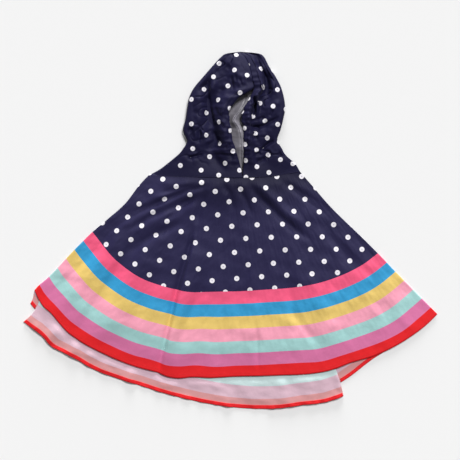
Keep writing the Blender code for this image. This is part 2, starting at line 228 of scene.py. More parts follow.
@dataclass(frozen=True)
class Crinkle:
    """Random soft creases: a sum of plane waves of about one length in directions drawn at random.

    Attributes:
        height: the spread of the heights.
        length: mean wave length, in metres.
        seed: seed of the draw.
        stretch: how many times longer the waves are along y than across.
        waves: how many waves are added up.
        scales: shares of the mean length between which a wave's length is drawn.
    """

    height: float
    length: float
    seed: int
    stretch: float = 1.0
    waves: int = 18
    scales: Point = (0.6, 1.6)

    def field(self, x: Array, y: Array) -> Array:
        """The height at each place.

        Args:
            x: places across.
            y: places along.

        Returns:
            Heights, in metres.
        """
        draw = np.random.default_rng(self.seed)
        total = np.zeros(np.broadcast(x, y).shape)
        turns, scales, phases = (
            draw.uniform(*span, self.waves) for span in ((0, math.pi), self.scales, (0, math.tau))
        )
        for turn, scale, phase in zip(turns, scales, phases):
            k = math.tau / (self.length * scale)
            total += np.sin(k * (x * math.cos(turn) + y * math.sin(turn) / self.stretch) + phase)
        return self.height * (total / math.sqrt(self.waves / 2))


@dataclass(frozen=True)
class CreaseLines:
    """Crisp random creases: a bell over the zero lines of one random field, kept where another is high.

    Attributes:
        depth: depth of a crease, in metres.
        width: how wide the bell is, as a share of the first field's spread.
        lines: the field whose zero lines they follow.
        patches: the field that says where they are kept.
        kept: heights of that field between which the creases come in.
    """

    depth: float
    width: float
    lines: Crinkle
    patches: Crinkle
    kept: Point = (-0.3, 0.9)

    def field(self, x: Array, y: Array) -> Array:
        """The depth at each place, in metres: the bell times the rise of the other field."""
        lines = np.exp(-((self.lines.field(x, y) / self.width) ** 2))
        return self.depth * (lines * smoothstep(self.patches.field(x, y), *self.kept))


# ---- meshes --------------------------------------------------------------------------------------
def add_object(name: str, data: bpy.types.ID) -> Object:
    """Puts an object in the scene.

    Args:
        name: its name.
        data: its mesh, light or camera.

    Returns:
        The object.
    """
    made = bpy.data.objects.new(name, data)
    bpy.context.scene.collection.objects.link(made)
    return made


def grid_piece(name: str, points: Array, cut: Array, dots: Array, finishes: list[Material],
               side: float = -1.0, turned: bool = True) -> Object:
    """One piece of cloth through a grid of points; Solidify gives it its wall.

    Args:
        name: the object's name.
        points: rows by columns by 3, the face that carries the first finish.
        cut: rows by columns by 2, the same places on the flat cut, in metres.
        dots: rows by columns by 2, the same places on the lattice of dots, in steps.
        finishes: the finish of that face and the finish of the other one.
        side: -1 where the points are the outer face, 0 where they run through the middle.
        turned: whether the columns are taken in reverse, so that the first face looks outwards.

    Returns:
        The object, at the origin.
    """
    if turned:
        points, cut, dots = points[:, ::-1], cut[:, ::-1], dots[:, ::-1]
    rows, columns = points.shape[:2]
    index = np.arange(rows * columns).reshape(rows, columns)
    quads = np.stack([index[:-1, :-1], index[:-1, 1:], index[1:, 1:], index[1:, :-1]], -1).reshape(-1, 4)
    mesh = bpy.data.meshes.new(name)
    mesh.vertices.add(rows * columns)
    mesh.vertices.foreach_set("co", points.reshape(-1).astype(np.float32))
    mesh.loops.add(quads.size)
    mesh.loops.foreach_set("vertex_index", quads.reshape(-1).astype(np.int32))
    mesh.polygons.add(len(quads))
    mesh.polygons.foreach_set("loop_start", np.arange(0, quads.size, 4, dtype=np.int32))
    mesh.update(calc_edges=True)
    mesh.polygons.foreach_set("use_smooth", np.ones(len(quads), bool))
    for label, places in (("cut", cut), ("dots", dots)):
        corners = places.reshape(-1, 2)[quads.reshape(-1)]
        mesh.uv_layers.new(name=label).data.foreach_set("uv", corners.reshape(-1).astype(np.float32))
    for label, steps in zip(("step_a", "step_b"), lattice_steps(points, dots)):
        layer = mesh.attributes.new(label, "FLOAT_VECTOR", "POINT")
        layer.data.foreach_set("vector", steps.reshape(-1).astype(np.float32))
    for finish in finishes:
        mesh.materials.append(finish)
    mesh.validate()
    piece = add_object(name, mesh)
    wall = piece.modifiers.new("wall", "SOLIDIFY")
    wall.thickness, wall.offset, wall.use_quality_normals = CLOTH, side, True
    wall.material_offset = len(finishes) - 1
    return piece


def lattice_steps(points: Array, dots: Array) -> tuple[Array, Array]:
    """How far one step of the lattice of dots goes on the cloth, in each of its two directions.

    The surface's two derivatives are combined by the inverse of the lattice's own derivatives, so
    that a dot keeps its real size and stays round where the lattice is drawn together.

    Args:
        points: rows by columns by 3.
        dots: rows by columns by 2, places on the lattice.

    Returns:
        Two grids of vectors, in metres.
    """
    along, down = np.gradient(points, axis=1), np.gradient(points, axis=0)
    a, b = np.gradient(dots, axis=1), np.gradient(dots, axis=0)
    area = (a[..., 0] * b[..., 1] - a[..., 1] * b[..., 0])[..., None]
    area = np.where(np.abs(area) < TINY, TINY, area)
    steps = (
        (along * b[..., 1:] - down * a[..., 1:]) / area,
        (down * a[..., :1] - along * b[..., :1]) / area,
    )
    lengths = [np.linalg.norm(step, axis=-1, keepdims=True) for step in steps]
    least, most = np.array(DOT_STRETCH) * DOT_PITCH
    return tuple(
        step * np.clip(length, least, most) / np.maximum(length, TINY)
        for step, length in zip(steps, lengths)
    )


# ---- finishes ------------------------------------------------------------------------------------
def srgb(code: str) -> tuple[float, float, float, float]:
    """A colour given as sRGB hex digits, in linear light.

    Args:
        code: six hex digits.

    Returns:
        Red, green, blue and alpha.
    """
    parts = [int(code[i : i + 2], 16) / 255 for i in (0, 2, 4)]
    linear = [p / 12.92 if p <= 0.04045 else ((p + 0.055) / 1.055) ** 2.4 for p in parts]
    return (linear[0], linear[1], linear[2], 1.0)


def add_node(tree: bpy.types.NodeTree, kind: str, settings: dict | None = None,
             inputs: dict | None = None) -> bpy.types.Node:
    """Adds one node with its settings, and links or fills its inputs.

    Args:
        tree: the node tree.
        kind: the node's type name.
        settings: values of the node's own properties.
        inputs: for each input's name or number, a value or the output socket to link.

    Returns:
        The node.
    """
    node = tree.nodes.new(kind)
    for name, value in (settings or {}).items():
        setattr(node, name, value)
    return fill(node, inputs or {})


def fill(node: bpy.types.Node, inputs: dict) -> bpy.types.Node:
    """Links or fills a node's inputs.

    Args:
        node: the node.
        inputs: for each input's name or number, a value or the output socket to link.

    Returns:
        The node.
    """
    for name, value in inputs.items():
        if isinstance(value, Socket):
            node.id_data.links.new(value, node.inputs[name])
        else:
            node.inputs[name].default_value = value
    return node


def plain_material(name: str, inputs: dict) -> tuple[Material, bpy.types.Node]:
    """A material with the usual shader.

    Args:
        name: the material's name.
        inputs: for each of the shader's inputs that is set, its value.

    Returns:
        The material and its shader.
    """
    made = bpy.data.materials.new(name)
    made.use_nodes = True
    return made, fill(made.node_tree.nodes["Principled BSDF"], inputs)


@dataclass(frozen=True)
class DotLattice:
    """Where the square lattice of dots lies on a piece as it rests, folded and gathered.

    Place on the lattice, in steps of its pitch, is a polynomial of the place on the floor about a
    centre. Its first order is the print's turn and pitch; the higher ones are the cloth that folds
    and gathers take up.

    Attributes:
        centre: the place where only the constant counts.
        unit: the length that counts as one.
        terms: for 1, x, y, xx, xy, yy, xxx, xxy, xyy and yyy, the two lattice places.
    """

    centre: Point
    unit: float
    terms: tuple[Point, ...]

    def place(self, x: Array, y: Array) -> Array:
        """Lattice places, in steps.

        Args:
            x: places across.
            y: places along.

        Returns:
            The two lattice places, stacked last.
        """
        u, v = (x - self.centre[0]) / self.unit, (y - self.centre[1]) / self.unit
        powers = (u * 0 + 1, u, v, u * u, u * v, v * v, u ** 3, u * u * v, u * v * v, v ** 3)
        return sum(power[..., None] * np.array(term) for power, term in zip(powers, self.terms))


FRONT_DOTS = DotLattice((0.0, 0.0), 0.2, (
    (-1.939, -1.768), (3.517, -3.030), (-2.865, -3.569), (-0.158, -0.168), (0.027, 0.143),
    (-0.263, -0.309), (0.008, 0.022), (-0.124, -0.231), (0.401, 0.067), (-0.415, -0.311),
))
HOOD_DOTS = {
    Side.LEFT: DotLattice((-0.04, 0.26), 0.1, (
        (0.696, 2.140), (1.875, -1.437), (-1.893, -1.899), (0.574, 0.008), (-0.119, -0.237),
        (0.032, 0.087), (-0.050, -0.012), (0.311, 0.389), (0.075, 0.161), (0.221, -0.186),
    )),
    Side.RIGHT: DotLattice((0.08, 0.26), 0.1, (
        (0.917, -0.950), (2.796, -0.833), (-1.893, -2.591), (-0.028, 0.363), (0.366, 0.316),
        (0.679, 0.035), (0.034, -0.041), (-0.165, 0.010), (0.009, 0.030), (0.302, 0.061),
    )),
}


@dataclass(frozen=True)
class DotPrint:
    """White dots on a square lattice, each with a small grey speck at its middle.

    Attributes:
        dot: radius of a dot.
        speck: radius of the speck.
    """

    dot: float = 0.0061
    speck: float = 0.0014

    def masks(self, tree: bpy.types.NodeTree) -> tuple[Socket, Socket]:
        """Two masks, of the dots and of their specks.

        The place on the lattice less its nearest whole step, times the two steps in metres, is the
        way from the nearest dot's middle. Its length is under the dot's radius inside the dot.

        Args:
            tree: the node tree.

        Returns:
            The dots' mask and the specks' mask.
        """
        place = add_node(tree, "ShaderNodeUVMap", {"uv_map": "dots"})
        for operation in ("ADD", "FRACTION", "SUBTRACT"):
            place = add_node(tree, "ShaderNodeVectorMath", {"operation": operation},
                             {0: place.outputs[0], 1: (0.5, 0.5, 0.0)})
        split = add_node(tree, "ShaderNodeSeparateXYZ", None, {"Vector": place.outputs[0]})
        reach = []
        for label, axis in (("step_a", "X"), ("step_b", "Y")):
            step = add_node(tree, "ShaderNodeAttribute", {"attribute_name": label})
            reach.append(add_node(tree, "ShaderNodeVectorMath", {"operation": "SCALE"},
                                  {0: step.outputs["Vector"], "Scale": split.outputs[axis]}))
        metres = add_node(tree, "ShaderNodeVectorMath", {"operation": "ADD"},
                          {0: reach[0].outputs[0], 1: reach[1].outputs[0]})
        away = add_node(tree, "ShaderNodeVectorMath", {"operation": "LENGTH"}, {0: metres.outputs[0]})
        masks = []
        for radius in (self.dot, self.speck):
            mask = add_node(tree, "ShaderNodeMapRange", {"interpolation_type": "SMOOTHSTEP"}, {
                "Value": away.outputs["Value"], "From Min": radius - INK_EDGE,
                "From Max": radius + INK_EDGE, "To Min": 1.0, "To Max": 0.0,
            })
            masks.append(mask.outputs["Result"])
        return masks[0], masks[1]


@dataclass(frozen=True)
class StripePrint:
    """Seven even stripes that follow the hem: bands of the distance from the apex.

    Attributes:
        start: radius of the first stripe's edge.
        colours: from the first stripe to the hem.
    """

    start: float
    colours: tuple[str, ...]

    def paint(self, tree: bpy.types.NodeTree, cut: Socket, ground: Socket) -> Socket:
        """The ground colour with the stripes laid over it.

        Args:
            tree: the node tree.
            cut: places on the cut, in metres from the apex.
            ground: the colour that the stripes replace.

        Returns:
            The colour socket.
        """
        radius = add_node(tree, "ShaderNodeVectorMath", {"operation": "LENGTH"}, {0: cut})
        span = STRIPE * len(self.colours)
        share = add_node(tree, "ShaderNodeMapRange", {"clamp": True}, {
            "Value": radius.outputs["Value"], "From Min": self.start, "From Max": self.start + span,
        })
        ramp = add_node(tree, "ShaderNodeValToRGB", None, {"Fac": share.outputs["Result"]})
        ramp.color_ramp.interpolation = "CONSTANT"
        for i, code in enumerate(self.colours):
            place = i / len(self.colours)
            stop = ramp.color_ramp.elements[0] if i == 0 else ramp.color_ramp.elements.new(place)
            stop.position, stop.color = place, srgb(code)
        # a ramp starts with a stop at 1, which the last stripe's colour goes on to
        ramp.color_ramp.elements[len(self.colours)].color = srgb(self.colours[-1])
        inside = add_node(tree, "ShaderNodeMath", {"operation": "GREATER_THAN"},
                          {0: radius.outputs["Value"], 1: self.start})
        mixed = add_node(tree, "ShaderNodeMix", {"data_type": "RGBA"},
                         {"Factor": inside.outputs[0], MIX_A: ground, MIX_B: ramp.outputs["Color"]})
        return mixed.outputs[MIXED]


MIX_A, MIX_B, MIXED = 6, 7, 2     # numbers of a Mix node's colour sockets
PRINT_INKS = ("E2567A", "3390C0", "D6B868", "E497AC", "9AC5C3", "CD709C", "DA2227")
PRINT_SEEN_THROUGH = ("E0B4BF", "B0C6D4", "DBD2B4", "E2C6CD", "B7CACA", "C8A9B6", "C98E8F")


@dataclass(frozen=True)
class PrintedCloth:
    """Woven polyester of about 0.1 mm, printed on one face and coated against rain on the other.

    The printed face has the low satin gloss of filament yarn. The coated face is paler, because
    the print shows through it, and a little smoother.

    Attributes:
        face: which face this is.
        dots: its dots.
        stripes: its stripes, where it has them.
        ground: colour of the ground.
        spot: colour of the dots.
        speck: colour of their specks.
        roughness: how dull it is.
        gloss: share of the mirror-like light of plain plastic.
        painted_neck_shade: a darker ground colour near the neck, painted shade for the shadow there.
        painted_shade_band: radii of the cut between which the painted shade turns to the plain ground.
        sheen: how much of the light the yarn's fuzz sends back, and how softly.
        rumple: distance between the coating's crumples, and their depth, in metres. They are 12 mm
            apart, with finer ones between; threads of 0.1 mm are too fine to show.
    """

    face: Face
    dots: DotPrint
    stripes: StripePrint | None
    ground: str
    spot: str
    speck: str
    roughness: float
    gloss: float
    painted_neck_shade: str | None = None
    painted_shade_band: Point = (0.268, 0.372)
    sheen: Point = (0.02, 0.45)
    rumple: Point = (0.012, 0.0012)

    def material(self, where: str) -> Material:
        """Builds the material.

        Args:
            where: the part of the poncho that it is for.

        Returns:
            The material.
        """
        made, shader = plain_material(f"{self.face.value}, {where}", {
            "Roughness": self.roughness, "Specular IOR Level": self.gloss, "IOR": 1.5,
            "Sheen Weight": self.sheen[0], "Sheen Roughness": self.sheen[1],
        })
        tree = made.node_tree
        cut = add_node(tree, "ShaderNodeUVMap", {"uv_map": "cut"}).outputs["UV"]
        colour = self.ground_with_painted_shade(tree, cut)
        for mask, ink in zip(self.dots.masks(tree), (self.spot, self.speck)):
            colour = add_node(tree, "ShaderNodeMix", {"data_type": "RGBA"},
                              {"Factor": mask, MIX_A: colour, MIX_B: srgb(ink)}).outputs[MIXED]
        if self.stripes:
            colour = self.stripes.paint(tree, cut, colour)
        crumples = add_node(tree, "ShaderNodeTexNoise", {"noise_dimensions": "2D"},
                            {"Vector": cut, "Scale": 1 / self.rumple[0], "Detail": 3.0, "Roughness": 0.55})
        bump = add_node(tree, "ShaderNodeBump", None, {
            "Height": crumples.outputs["Fac"], "Strength": 0.35, "Distance": self.rumple[1],
        })
        fill(shader, {"Base Color": colour, "Normal": bump.outputs["Normal"]})
        return made

    def ground_with_painted_shade(self, tree: bpy.types.NodeTree, cut: Socket
                      ) -> Socket | tuple[float, float, float, float]:
        """The ground: plain, or with painted shade near the neck that fades out over the shade band.

        Args:
            tree: the node tree.
            cut: places on the cut, in metres.

        Returns:
            The colour, or the socket that gives it.
        """
        if self.painted_neck_shade is None:
            return srgb(self.ground)
        radius = add_node(tree, "ShaderNodeVectorMath", {"operation": "LENGTH"}, {0: cut})
        share = add_node(tree, "ShaderNodeMapRange", {"interpolation_type": "SMOOTHSTEP"}, {
            "Value": radius.outputs["Value"], "From Min": self.painted_shade_band[0], "From Max": self.painted_shade_band[1],
        })
        # painted shade: a darker ground near the neck, mixed out to the plain ground
        return add_node(tree, "ShaderNodeMix", {"data_type": "RGBA"}, {
            "Factor": share.outputs["Result"], MIX_A: srgb(self.painted_neck_shade), MIX_B: srgb(self.ground),
        }).outputs[MIXED]


@dataclass(frozen=True)
class SewingThread:
    """Spun polyester sewing thread: matt, dyed to match the cloth that it lies on.

    Attributes:
        colour: the dye.
    """

    colour: str

    def material(self, name: str) -> Material:
        """Builds the material, under that name."""
        return plain_material(name, {"Base Color": srgb(self.colour), "Roughness": 0.8})[0]


# ---- the body ------------------------------------------------------------------------------------
@dataclass(frozen=True)
class BodyOutline:
    """Where the side seams and the neck seam lie, round the apex.

    Attributes:
        sides: radius, then the angles of the left and the right side seam from straight down.
        neck: angle, then how far the neck seam lies below the apex there.
        neck_ends: x of the neck seam's two ends.
        neck_lift: how high the hood's hollow holds the front at the middle of the neck seam.
    """

    sides: tuple[tuple[float, float, float], ...] = (
        (0.270, -41.6, 25.6), (0.330, -42.1, 28.3), (0.385, -42.3, 30.1), (0.440, -41.7, 32.0),
        (0.495, -42.4, 33.6), (0.547, -43.1, 34.7), (0.600, -43.3, 35.5), (0.700, -43.35, 36.8),
        (0.735, -43.6, 37.2), (0.745, -43.5, 37.3), (0.757, -42.9, 37.3), (0.775, -42.5, 37.3),
        (0.830, -42.8, 37.3),
    )
    neck: tuple[tuple[float, float], ...] = (
        (-42.0, 0.2630), (-20.0, 0.2665), (0.0, 0.2670), (14.0, 0.2630), (26.0, 0.2530),
    )
    neck_ends: Point = (-0.1920, 0.1668)
    neck_lift: float = 0.0140

    def angle(self, across: Array, radius: Array) -> Array:
        """Angle of a place on a panel, a share of the way from one side seam to the other.

        Args:
            across: places across the panel.
            radius: their radii.

        Returns:
            Degrees from straight down.
        """
        radii, left, right = np.array(self.sides).T
        low, high = through(radius, radii, left), through(radius, radii, right)
        return low + across * (high - low)

    def neck_radius(self, across: Array) -> Array:
        """Radius of the neck seam: its depth below the apex over the cosine of its angle.

        Args:
            across: places across the panel.

        Returns:
            Radii.
        """
        angles, depths = np.array(self.neck).T
        angle = angles[0] + across * (angles[-1] - angles[0])
        return through(angle, angles, depths) / np.cos(np.radians(angle))

    def place(self, across: Array, radius: Array) -> tuple[Array, Array]:
        """X and Y of a place on a panel: from the apex, the radius times its angle's sine and cosine."""
        angle = np.radians(self.angle(across, radius))
        return APEX[0] + radius * np.sin(angle), APEX[1] - radius * np.cos(angle)

    def neck_y(self, x: Array) -> Array:
        """Y of the neck seam, read between 200 points of it that go on a little past its ends.

        Args:
            x: places across.

        Returns:
            Y at each of them.
        """
        across = np.linspace(-0.05, 1.05, 200)
        seam_x, seam_y = self.place(across, self.neck_radius(across))
        return np.interp(x, seam_x, seam_y)

    def neck_height(self, x: Array) -> Array:
        """Height of the outside of the upper layer along the neck seam: a squared sine.

        Args:
            x: places across.

        Returns:
            Heights.
        """
        low, high = self.neck_ends
        share = np.clip((x - low) / (high - low), 0.0, 1.0)
        return REST + LAYER + self.neck_lift * np.sin(math.pi * share) ** 2


@dataclass(frozen=True)
class PleatLayers:
    """How the back's spare cloth lies: where its upper stretch leaves and meets the floor.

    Attributes:
        sag: places across where the upper stretch comes down and where it rises again.
        parted: radii between which the layers part in height.
        pleated: radii between which they slide to their folded places.
        wider: how much wider the front's drape over the pleats is than the pleats.
        earlier: how much nearer to the neck it starts.
        middle: place across between the two pleats.
        left_edge: places across between which the front rises on to the left pleat.
        right_edge: places across between which it comes down from the right one.
        strip: places across where it rises on to the single layer at the right, and leaves it.
        strip_starts: radii between which it does so.
    """

    sag: tuple[float, float, float, float] = (0.170, 0.240, 0.535, 0.600)
    parted: Point = (0.36, 0.46)
    pleated: Point = (0.42, 0.64)
    wider: float = 0.014
    earlier: float = 0.035
    middle: float = 0.4
    left_edge: Point = (-0.020, 0.008)
    right_edge: Point = (0.745, 0.800)
    strip: tuple[float, float, float, float] = (0.745, 0.790, 0.930, 0.970)
    strip_starts: Point = (0.66, 0.73)

    def share(self, across: Array, wider: float = 0.0) -> Array:
        """1 where the upper stretch lies on its pleats, 0 where it rests on the floor."""
        a, b, c, d = self.sag
        return 1.0 - smoothstep(across, a + wider, b + wider) + smoothstep(across, c - wider, d - wider)

    def cover(self, across: Array, radius: Array) -> Array:
        """How many layers of the back the front passes over, smoothed so that it drapes.

        Args:
            across: places across the front.
            radius: their radii.

        Returns:
            Layers, from 0 to 2.
        """
        left = smoothstep(across, *self.left_edge) * (across < self.middle)
        right = (1.0 - smoothstep(across, *self.right_edge)) * (across >= self.middle)
        start, end = self.parted
        layers = 2.0 * self.share(across, self.wider) * (left + right)
        layers = layers * smoothstep(radius, start - self.earlier, end - self.earlier)
        rise, risen, fall, fallen = self.strip
        strip = smoothstep(across, rise, risen) * (1.0 - smoothstep(across, fall, fallen))
        return np.maximum(layers, strip * smoothstep(radius, *self.strip_starts))


@dataclass
class FrontPanel:
    """The fan-shaped front, printed face up.

    Attributes:
        outline: the body's seams.
        layers: what of the back lies beneath.
        rows: rows of the grid.
        columns: columns of the grid.
        hem: across, then the radius of the hem.
        band: across, then the radius where the first stripe starts.
        last: across, then the radius where the seventh and last stripe starts.
        neck_gap: from the neck seam's line to the first row, which the hood covers.
        loft: how far the cloth stands off between its folds.
        left_loft: how much further it does so beside the left seam.
        left_rise: place across where that is reached.
        relief: how much deeper the folds are than read.
        lowest: how far a fold may come below the cloth that lies flat.
        edge: share of the width over which the side seams hold the cloth down.
        at_edge: what is left of the folds right at a side seam.
        calm: share of the length over which the neck seam holds the cloth smooth.
        lift_fades: shares of the length between which the lift at the neck seam goes.
        settles: shares of the length between which the cloth settles on the back.
        at_hem: what is left at the hem of the loft, of the folds and of the crinkles.
        arc: radius at which the long crinkles' width is measured round the apex.
        long_crinkle: crinkles that run down the panel.
        long_starts: shares of the length between which they come in.
        short_crinkle: shorter ones between them.
        round_crinkle: crinkles that run no way in particular.
        crinkle_lift: height about which the crinkles play.
        folds: folds that stand in it.
    """

    outline: BodyOutline
    layers: PleatLayers
    rows: int = 125
    columns: int = 380
    hem: tuple[Point, ...] = (
        (0.000, 0.7430), (0.030, 0.7568), (0.055, 0.7582), (0.080, 0.7650), (0.105, 0.7708),
        (0.130, 0.7728), (0.204, 0.7720), (0.279, 0.7702), (0.328, 0.7668), (0.353, 0.7700),
        (0.378, 0.7672), (0.403, 0.7595), (0.453, 0.7533), (0.502, 0.7463), (0.552, 0.7438),
        (0.627, 0.7470), (0.676, 0.7530), (0.726, 0.7558), (0.776, 0.7532), (0.826, 0.7580),
        (0.876, 0.7590), (0.925, 0.7572), (0.975, 0.7530), (1.000, 0.7487),
    )
    band: tuple[Point, ...] = (
        (0.000, 0.5455), (0.014, 0.5470), (0.066, 0.5550), (0.117, 0.5630), (0.168, 0.5670),
        (0.220, 0.5690), (0.271, 0.5665), (0.323, 0.5630), (0.374, 0.5585), (0.425, 0.5500),
        (0.477, 0.5437), (0.528, 0.5405), (0.580, 0.5380), (0.631, 0.5380), (0.683, 0.5410),
        (0.734, 0.5440), (0.785, 0.5470), (0.837, 0.5490), (0.888, 0.5500), (0.940, 0.5500),
        (0.991, 0.5470), (1.000, 0.5465),
    )
    last: tuple[Point, ...] = (
        (0.000, 0.7240), (0.019, 0.7300), (0.068, 0.7370), (0.105, 0.7440), (0.130, 0.7455),
        (0.217, 0.7460), (0.266, 0.7455), (0.316, 0.7410), (0.353, 0.7425), (0.378, 0.7385),
        (0.415, 0.7285), (0.465, 0.7250), (0.514, 0.7185), (0.564, 0.7170), (0.613, 0.7175),
        (0.663, 0.7215), (0.712, 0.7290), (0.762, 0.7290), (0.812, 0.7310), (0.861, 0.7345),
        (0.911, 0.7355), (0.960, 0.7300), (1.000, 0.7260),
    )
    neck_gap: float = 0.003
    loft: float = 0.0036
    left_loft: float = 0.0100
    left_rise: float = 0.34
    relief: float = 1.35
    lowest: float = -0.0004
    edge: float = 0.12
    at_edge: float = 0.25
    calm: float = 0.06
    lift_fades: Point = (-0.03, 0.24)
    settles: Point = (0.80, 1.0)
    at_hem: tuple[float, float, float] = (0.10, 0.45, 0.35)
    arc: float = 0.62
    long_crinkle: Crinkle = Crinkle(0.00052, 0.044, 3, 4.0)
    long_starts: Point = (0.15, 0.75)
    short_crinkle: Crinkle = Crinkle(0.00016, 0.016, 5, 2.0)
    round_crinkle: Crinkle = Crinkle(0.00042, 0.044, 4)
    crinkle_lift: float = 0.0010
    folds: tuple[Fold, ...] = (
        # the long crease left of the middle and the slack cloth right of it
        Fold(((-0.090, 0.010), (-0.094, -0.030), (-0.131, -0.159), (-0.173, -0.341), (-0.178, -0.366)),
             0.005, 0.008, -0.0045, 0.16),
        Fold(((-0.080, -0.020), (-0.118, -0.156), (-0.160, -0.338), (-0.166, -0.366)),
             0.030, 0.007, 0.0055, 0.16),
        # soft valleys of the left half
        Fold(((-0.189, 0.032), (-0.281, -0.111), (-0.370, -0.250), (-0.376, -0.270)),
             0.020, 0.012, -0.0036),
        Fold(((-0.228, 0.060), (-0.335, -0.090), (-0.420, -0.215)), 0.026, 0.026, 0.0036),
        Fold(((-0.170, 0.000), (-0.240, -0.130), (-0.320, -0.285)), 0.024, 0.024, 0.0030),
        Fold(((-0.250, 0.010), (-0.355, -0.080), (-0.462, -0.165)), 0.010, 0.014, -0.0030),
        # valleys right of the crease
        Fold(((-0.062, -0.121), (-0.122, -0.262), (-0.131, -0.336)), 0.012, 0.012, -0.0026),
        Fold(((-0.012, -0.140), (-0.034, -0.352)), 0.010, 0.010, -0.0018),
        Fold(((0.006, -0.222), (-0.014, -0.354)), 0.006, 0.006, -0.0012),
        Fold(((0.064, -0.223), (0.068, -0.351)), 0.005, 0.006, -0.0018),
        Fold(((0.135, -0.100), (0.155, -0.206), (0.226, -0.292)), 0.012, 0.010, -0.0024),
        Fold(((0.040, -0.200), (0.046, -0.352)), 0.030, 0.018, 0.0016),
        Fold(((0.190, -0.060), (0.240, -0.200), (0.262, -0.330)), 0.026, 0.030, 0.0026),
        Fold(((0.330, -0.050), (0.400, -0.180), (0.425, -0.230)), 0.020, 0.024, 0.0026),
        # drags from the neck seam to the right
        Fold(((0.036, 0.122), (0.076, 0.073), (0.120, 0.031), (0.152, 0.003), (0.205, -0.032)),
             0.009, 0.008, -0.0040, 0.30),
        Fold(((0.056, 0.122), (0.096, 0.080), (0.140, 0.038), (0.186, 0.006)), 0.010, 0.013, 0.0038),
        Fold(((0.200, 0.030), (0.262, -0.040), (0.330, -0.110)), 0.016, 0.012, -0.0026),
        Fold(((0.250, 0.000), (0.310, -0.060), (0.370, -0.120)), 0.012, 0.012, 0.0024),
        Fold(((0.110, 0.128), (0.170, 0.085), (0.240, 0.040), (0.290, 0.010)), 0.010, 0.008, -0.0034),
        Fold(((0.150, 0.120), (0.205, 0.085), (0.262, 0.050)), 0.010, 0.010, 0.0028),
        # the seam allowance inside the right edge
        Fold(((0.250, 0.042), (0.272, 0.019), (0.337, -0.054), (0.352, -0.072)),
             0.0028, 0.0035, -0.0022),
        # short drags below the neck seam
        Fold(((-0.020, 0.118), (0.000, 0.085), (0.010, 0.040)), 0.007, 0.009, -0.0026),
        Fold(((-0.085, 0.080), (-0.120, 0.050), (-0.165, 0.018)), 0.008, 0.009, -0.0028),
        Fold(((0.012, 0.112), (0.040, 0.070), (0.052, 0.030)), 0.006, 0.007, -0.0022),
        Fold(((-0.055, 0.100), (-0.070, 0.060), (-0.082, 0.010)), 0.008, 0.009, -0.0026),
        # drags from the neck seam to the left
        Fold(((-0.040, 0.110), (-0.099, 0.097), (-0.155, 0.073), (-0.212, 0.048), (-0.292, 0.008)),
             0.007, 0.008, -0.0042, 0.20),
        Fold(((-0.060, 0.118), (-0.130, 0.098), (-0.200, 0.068)), 0.010, 0.008, 0.0036),
        Fold(((-0.065, 0.116), (-0.120, 0.101), (-0.179, 0.083)), 0.006, 0.007, -0.0044),
        Fold(((-0.059, 0.083), (-0.125, 0.060), (-0.192, 0.030), (-0.260, -0.010)), 0.009, 0.010, -0.0055),
        Fold(((-0.105, 0.023), (-0.150, 0.003), (-0.192, -0.017), (-0.250, -0.060)), 0.009, 0.011, -0.0044),
        Fold(((-0.230, 0.052), (-0.300, -0.012), (-0.380, -0.090)), 0.008, 0.010, -0.0048),
        Fold(((-0.110, 0.060), (-0.190, 0.028), (-0.250, -0.010)), 0.014, 0.016, 0.0026),
    )

    def surface(self) -> tuple[Array, Array]:
        """The printed face and its flat cut.

        A row runs at one share of the way from the neck seam to the hem. Between the neck, the
        first stripe, the last stripe and the hem, the radius on the cut rises evenly with the
        radius as it lies.

        Returns:
            Points and places on the cut.
        """
        down, across = np.meshgrid(
            np.linspace(0.0, 1.0, self.rows + 1), np.linspace(0.0, 1.0, self.columns + 1), indexing="ij"
        )
        neck = self.outline.neck_radius(across) - self.neck_gap
        band, last, hem = (through(across, *np.array(line).T) for line in (self.band, self.last, self.hem))
        radius = neck + down * (hem - neck)
        last_stripe = FRONT_STRIPES + STRIPE * (len(PRINT_INKS) - 1)
        stops = ((neck, neck), (band, FRONT_STRIPES), (last, last_stripe), (hem, FRONT_CUT_HEM))
        cut = neck
        for (low, cut_low), (high, cut_high) in zip(stops, stops[1:]):
            risen = cut_low + (radius - low) * (cut_high - cut_low) / (high - low)
            cut = np.where(radius < low, cut, risen)
        x, y = self.outline.place(across, radius)
        height = self.height(down, across, radius, x, y)
        return pair(x, y, height), on_ring(cut, np.radians(self.outline.angle(across, radius)))

    def height(self, down: Array, across: Array, radius: Array, x: Array, y: Array) -> Array:
        """How high the printed face lies.

        It is the sum of the layers beneath, the lift at the neck, the loft with the folds, and the
        crinkles. The seams hold the last two down, and so does the hem, which rests on the back.

        Args:
            down: share of the way from the neck seam to the hem.
            across: place across the panel.
            radius: radius from the apex.
            x: where that is across the floor.
            y: where that is along the floor.

        Returns:
            Heights.
        """
        at_edge = smoothstep(across, 0.0, self.edge) * smoothstep(1.0 - across, 0.0, self.edge)
        calm = smoothstep(down, 0.0, self.calm)
        open_cloth = 1.0 - smoothstep(down, *self.settles)
        loft_left, folds_left, crinkles_left = (at_least(least, open_cloth) for least in self.at_hem)

        lifted = self.outline.neck_height(x) - REST - LAYER
        z = REST + LAYER * (1.0 + self.layers.cover(across, radius)) + CLOTH
        z = z + lifted * (1.0 - smoothstep(down, *self.lift_fades))

        beside_left = smoothstep(across, 0.0, self.left_rise) * (1.0 - across) ** 2
        loft = (self.loft * at_edge + self.left_loft * beside_left) * loft_left
        folds = self.relief * fold_sum(self.folds, x, y) * folds_left
        z = z + np.maximum(loft + folds, self.lowest) * at_least(self.at_edge, at_edge) * calm

        round_apex = self.arc * np.radians(self.outline.angle(across, radius))
        crinkles = self.long_crinkle.field(round_apex, radius) * smoothstep(down, *self.long_starts)
        crinkles = crinkles + self.short_crinkle.field(round_apex, radius) + self.round_crinkle.field(x, y)
        return z + np.maximum(crinkles + self.crinkle_lift, 0.0) * calm * crinkles_left

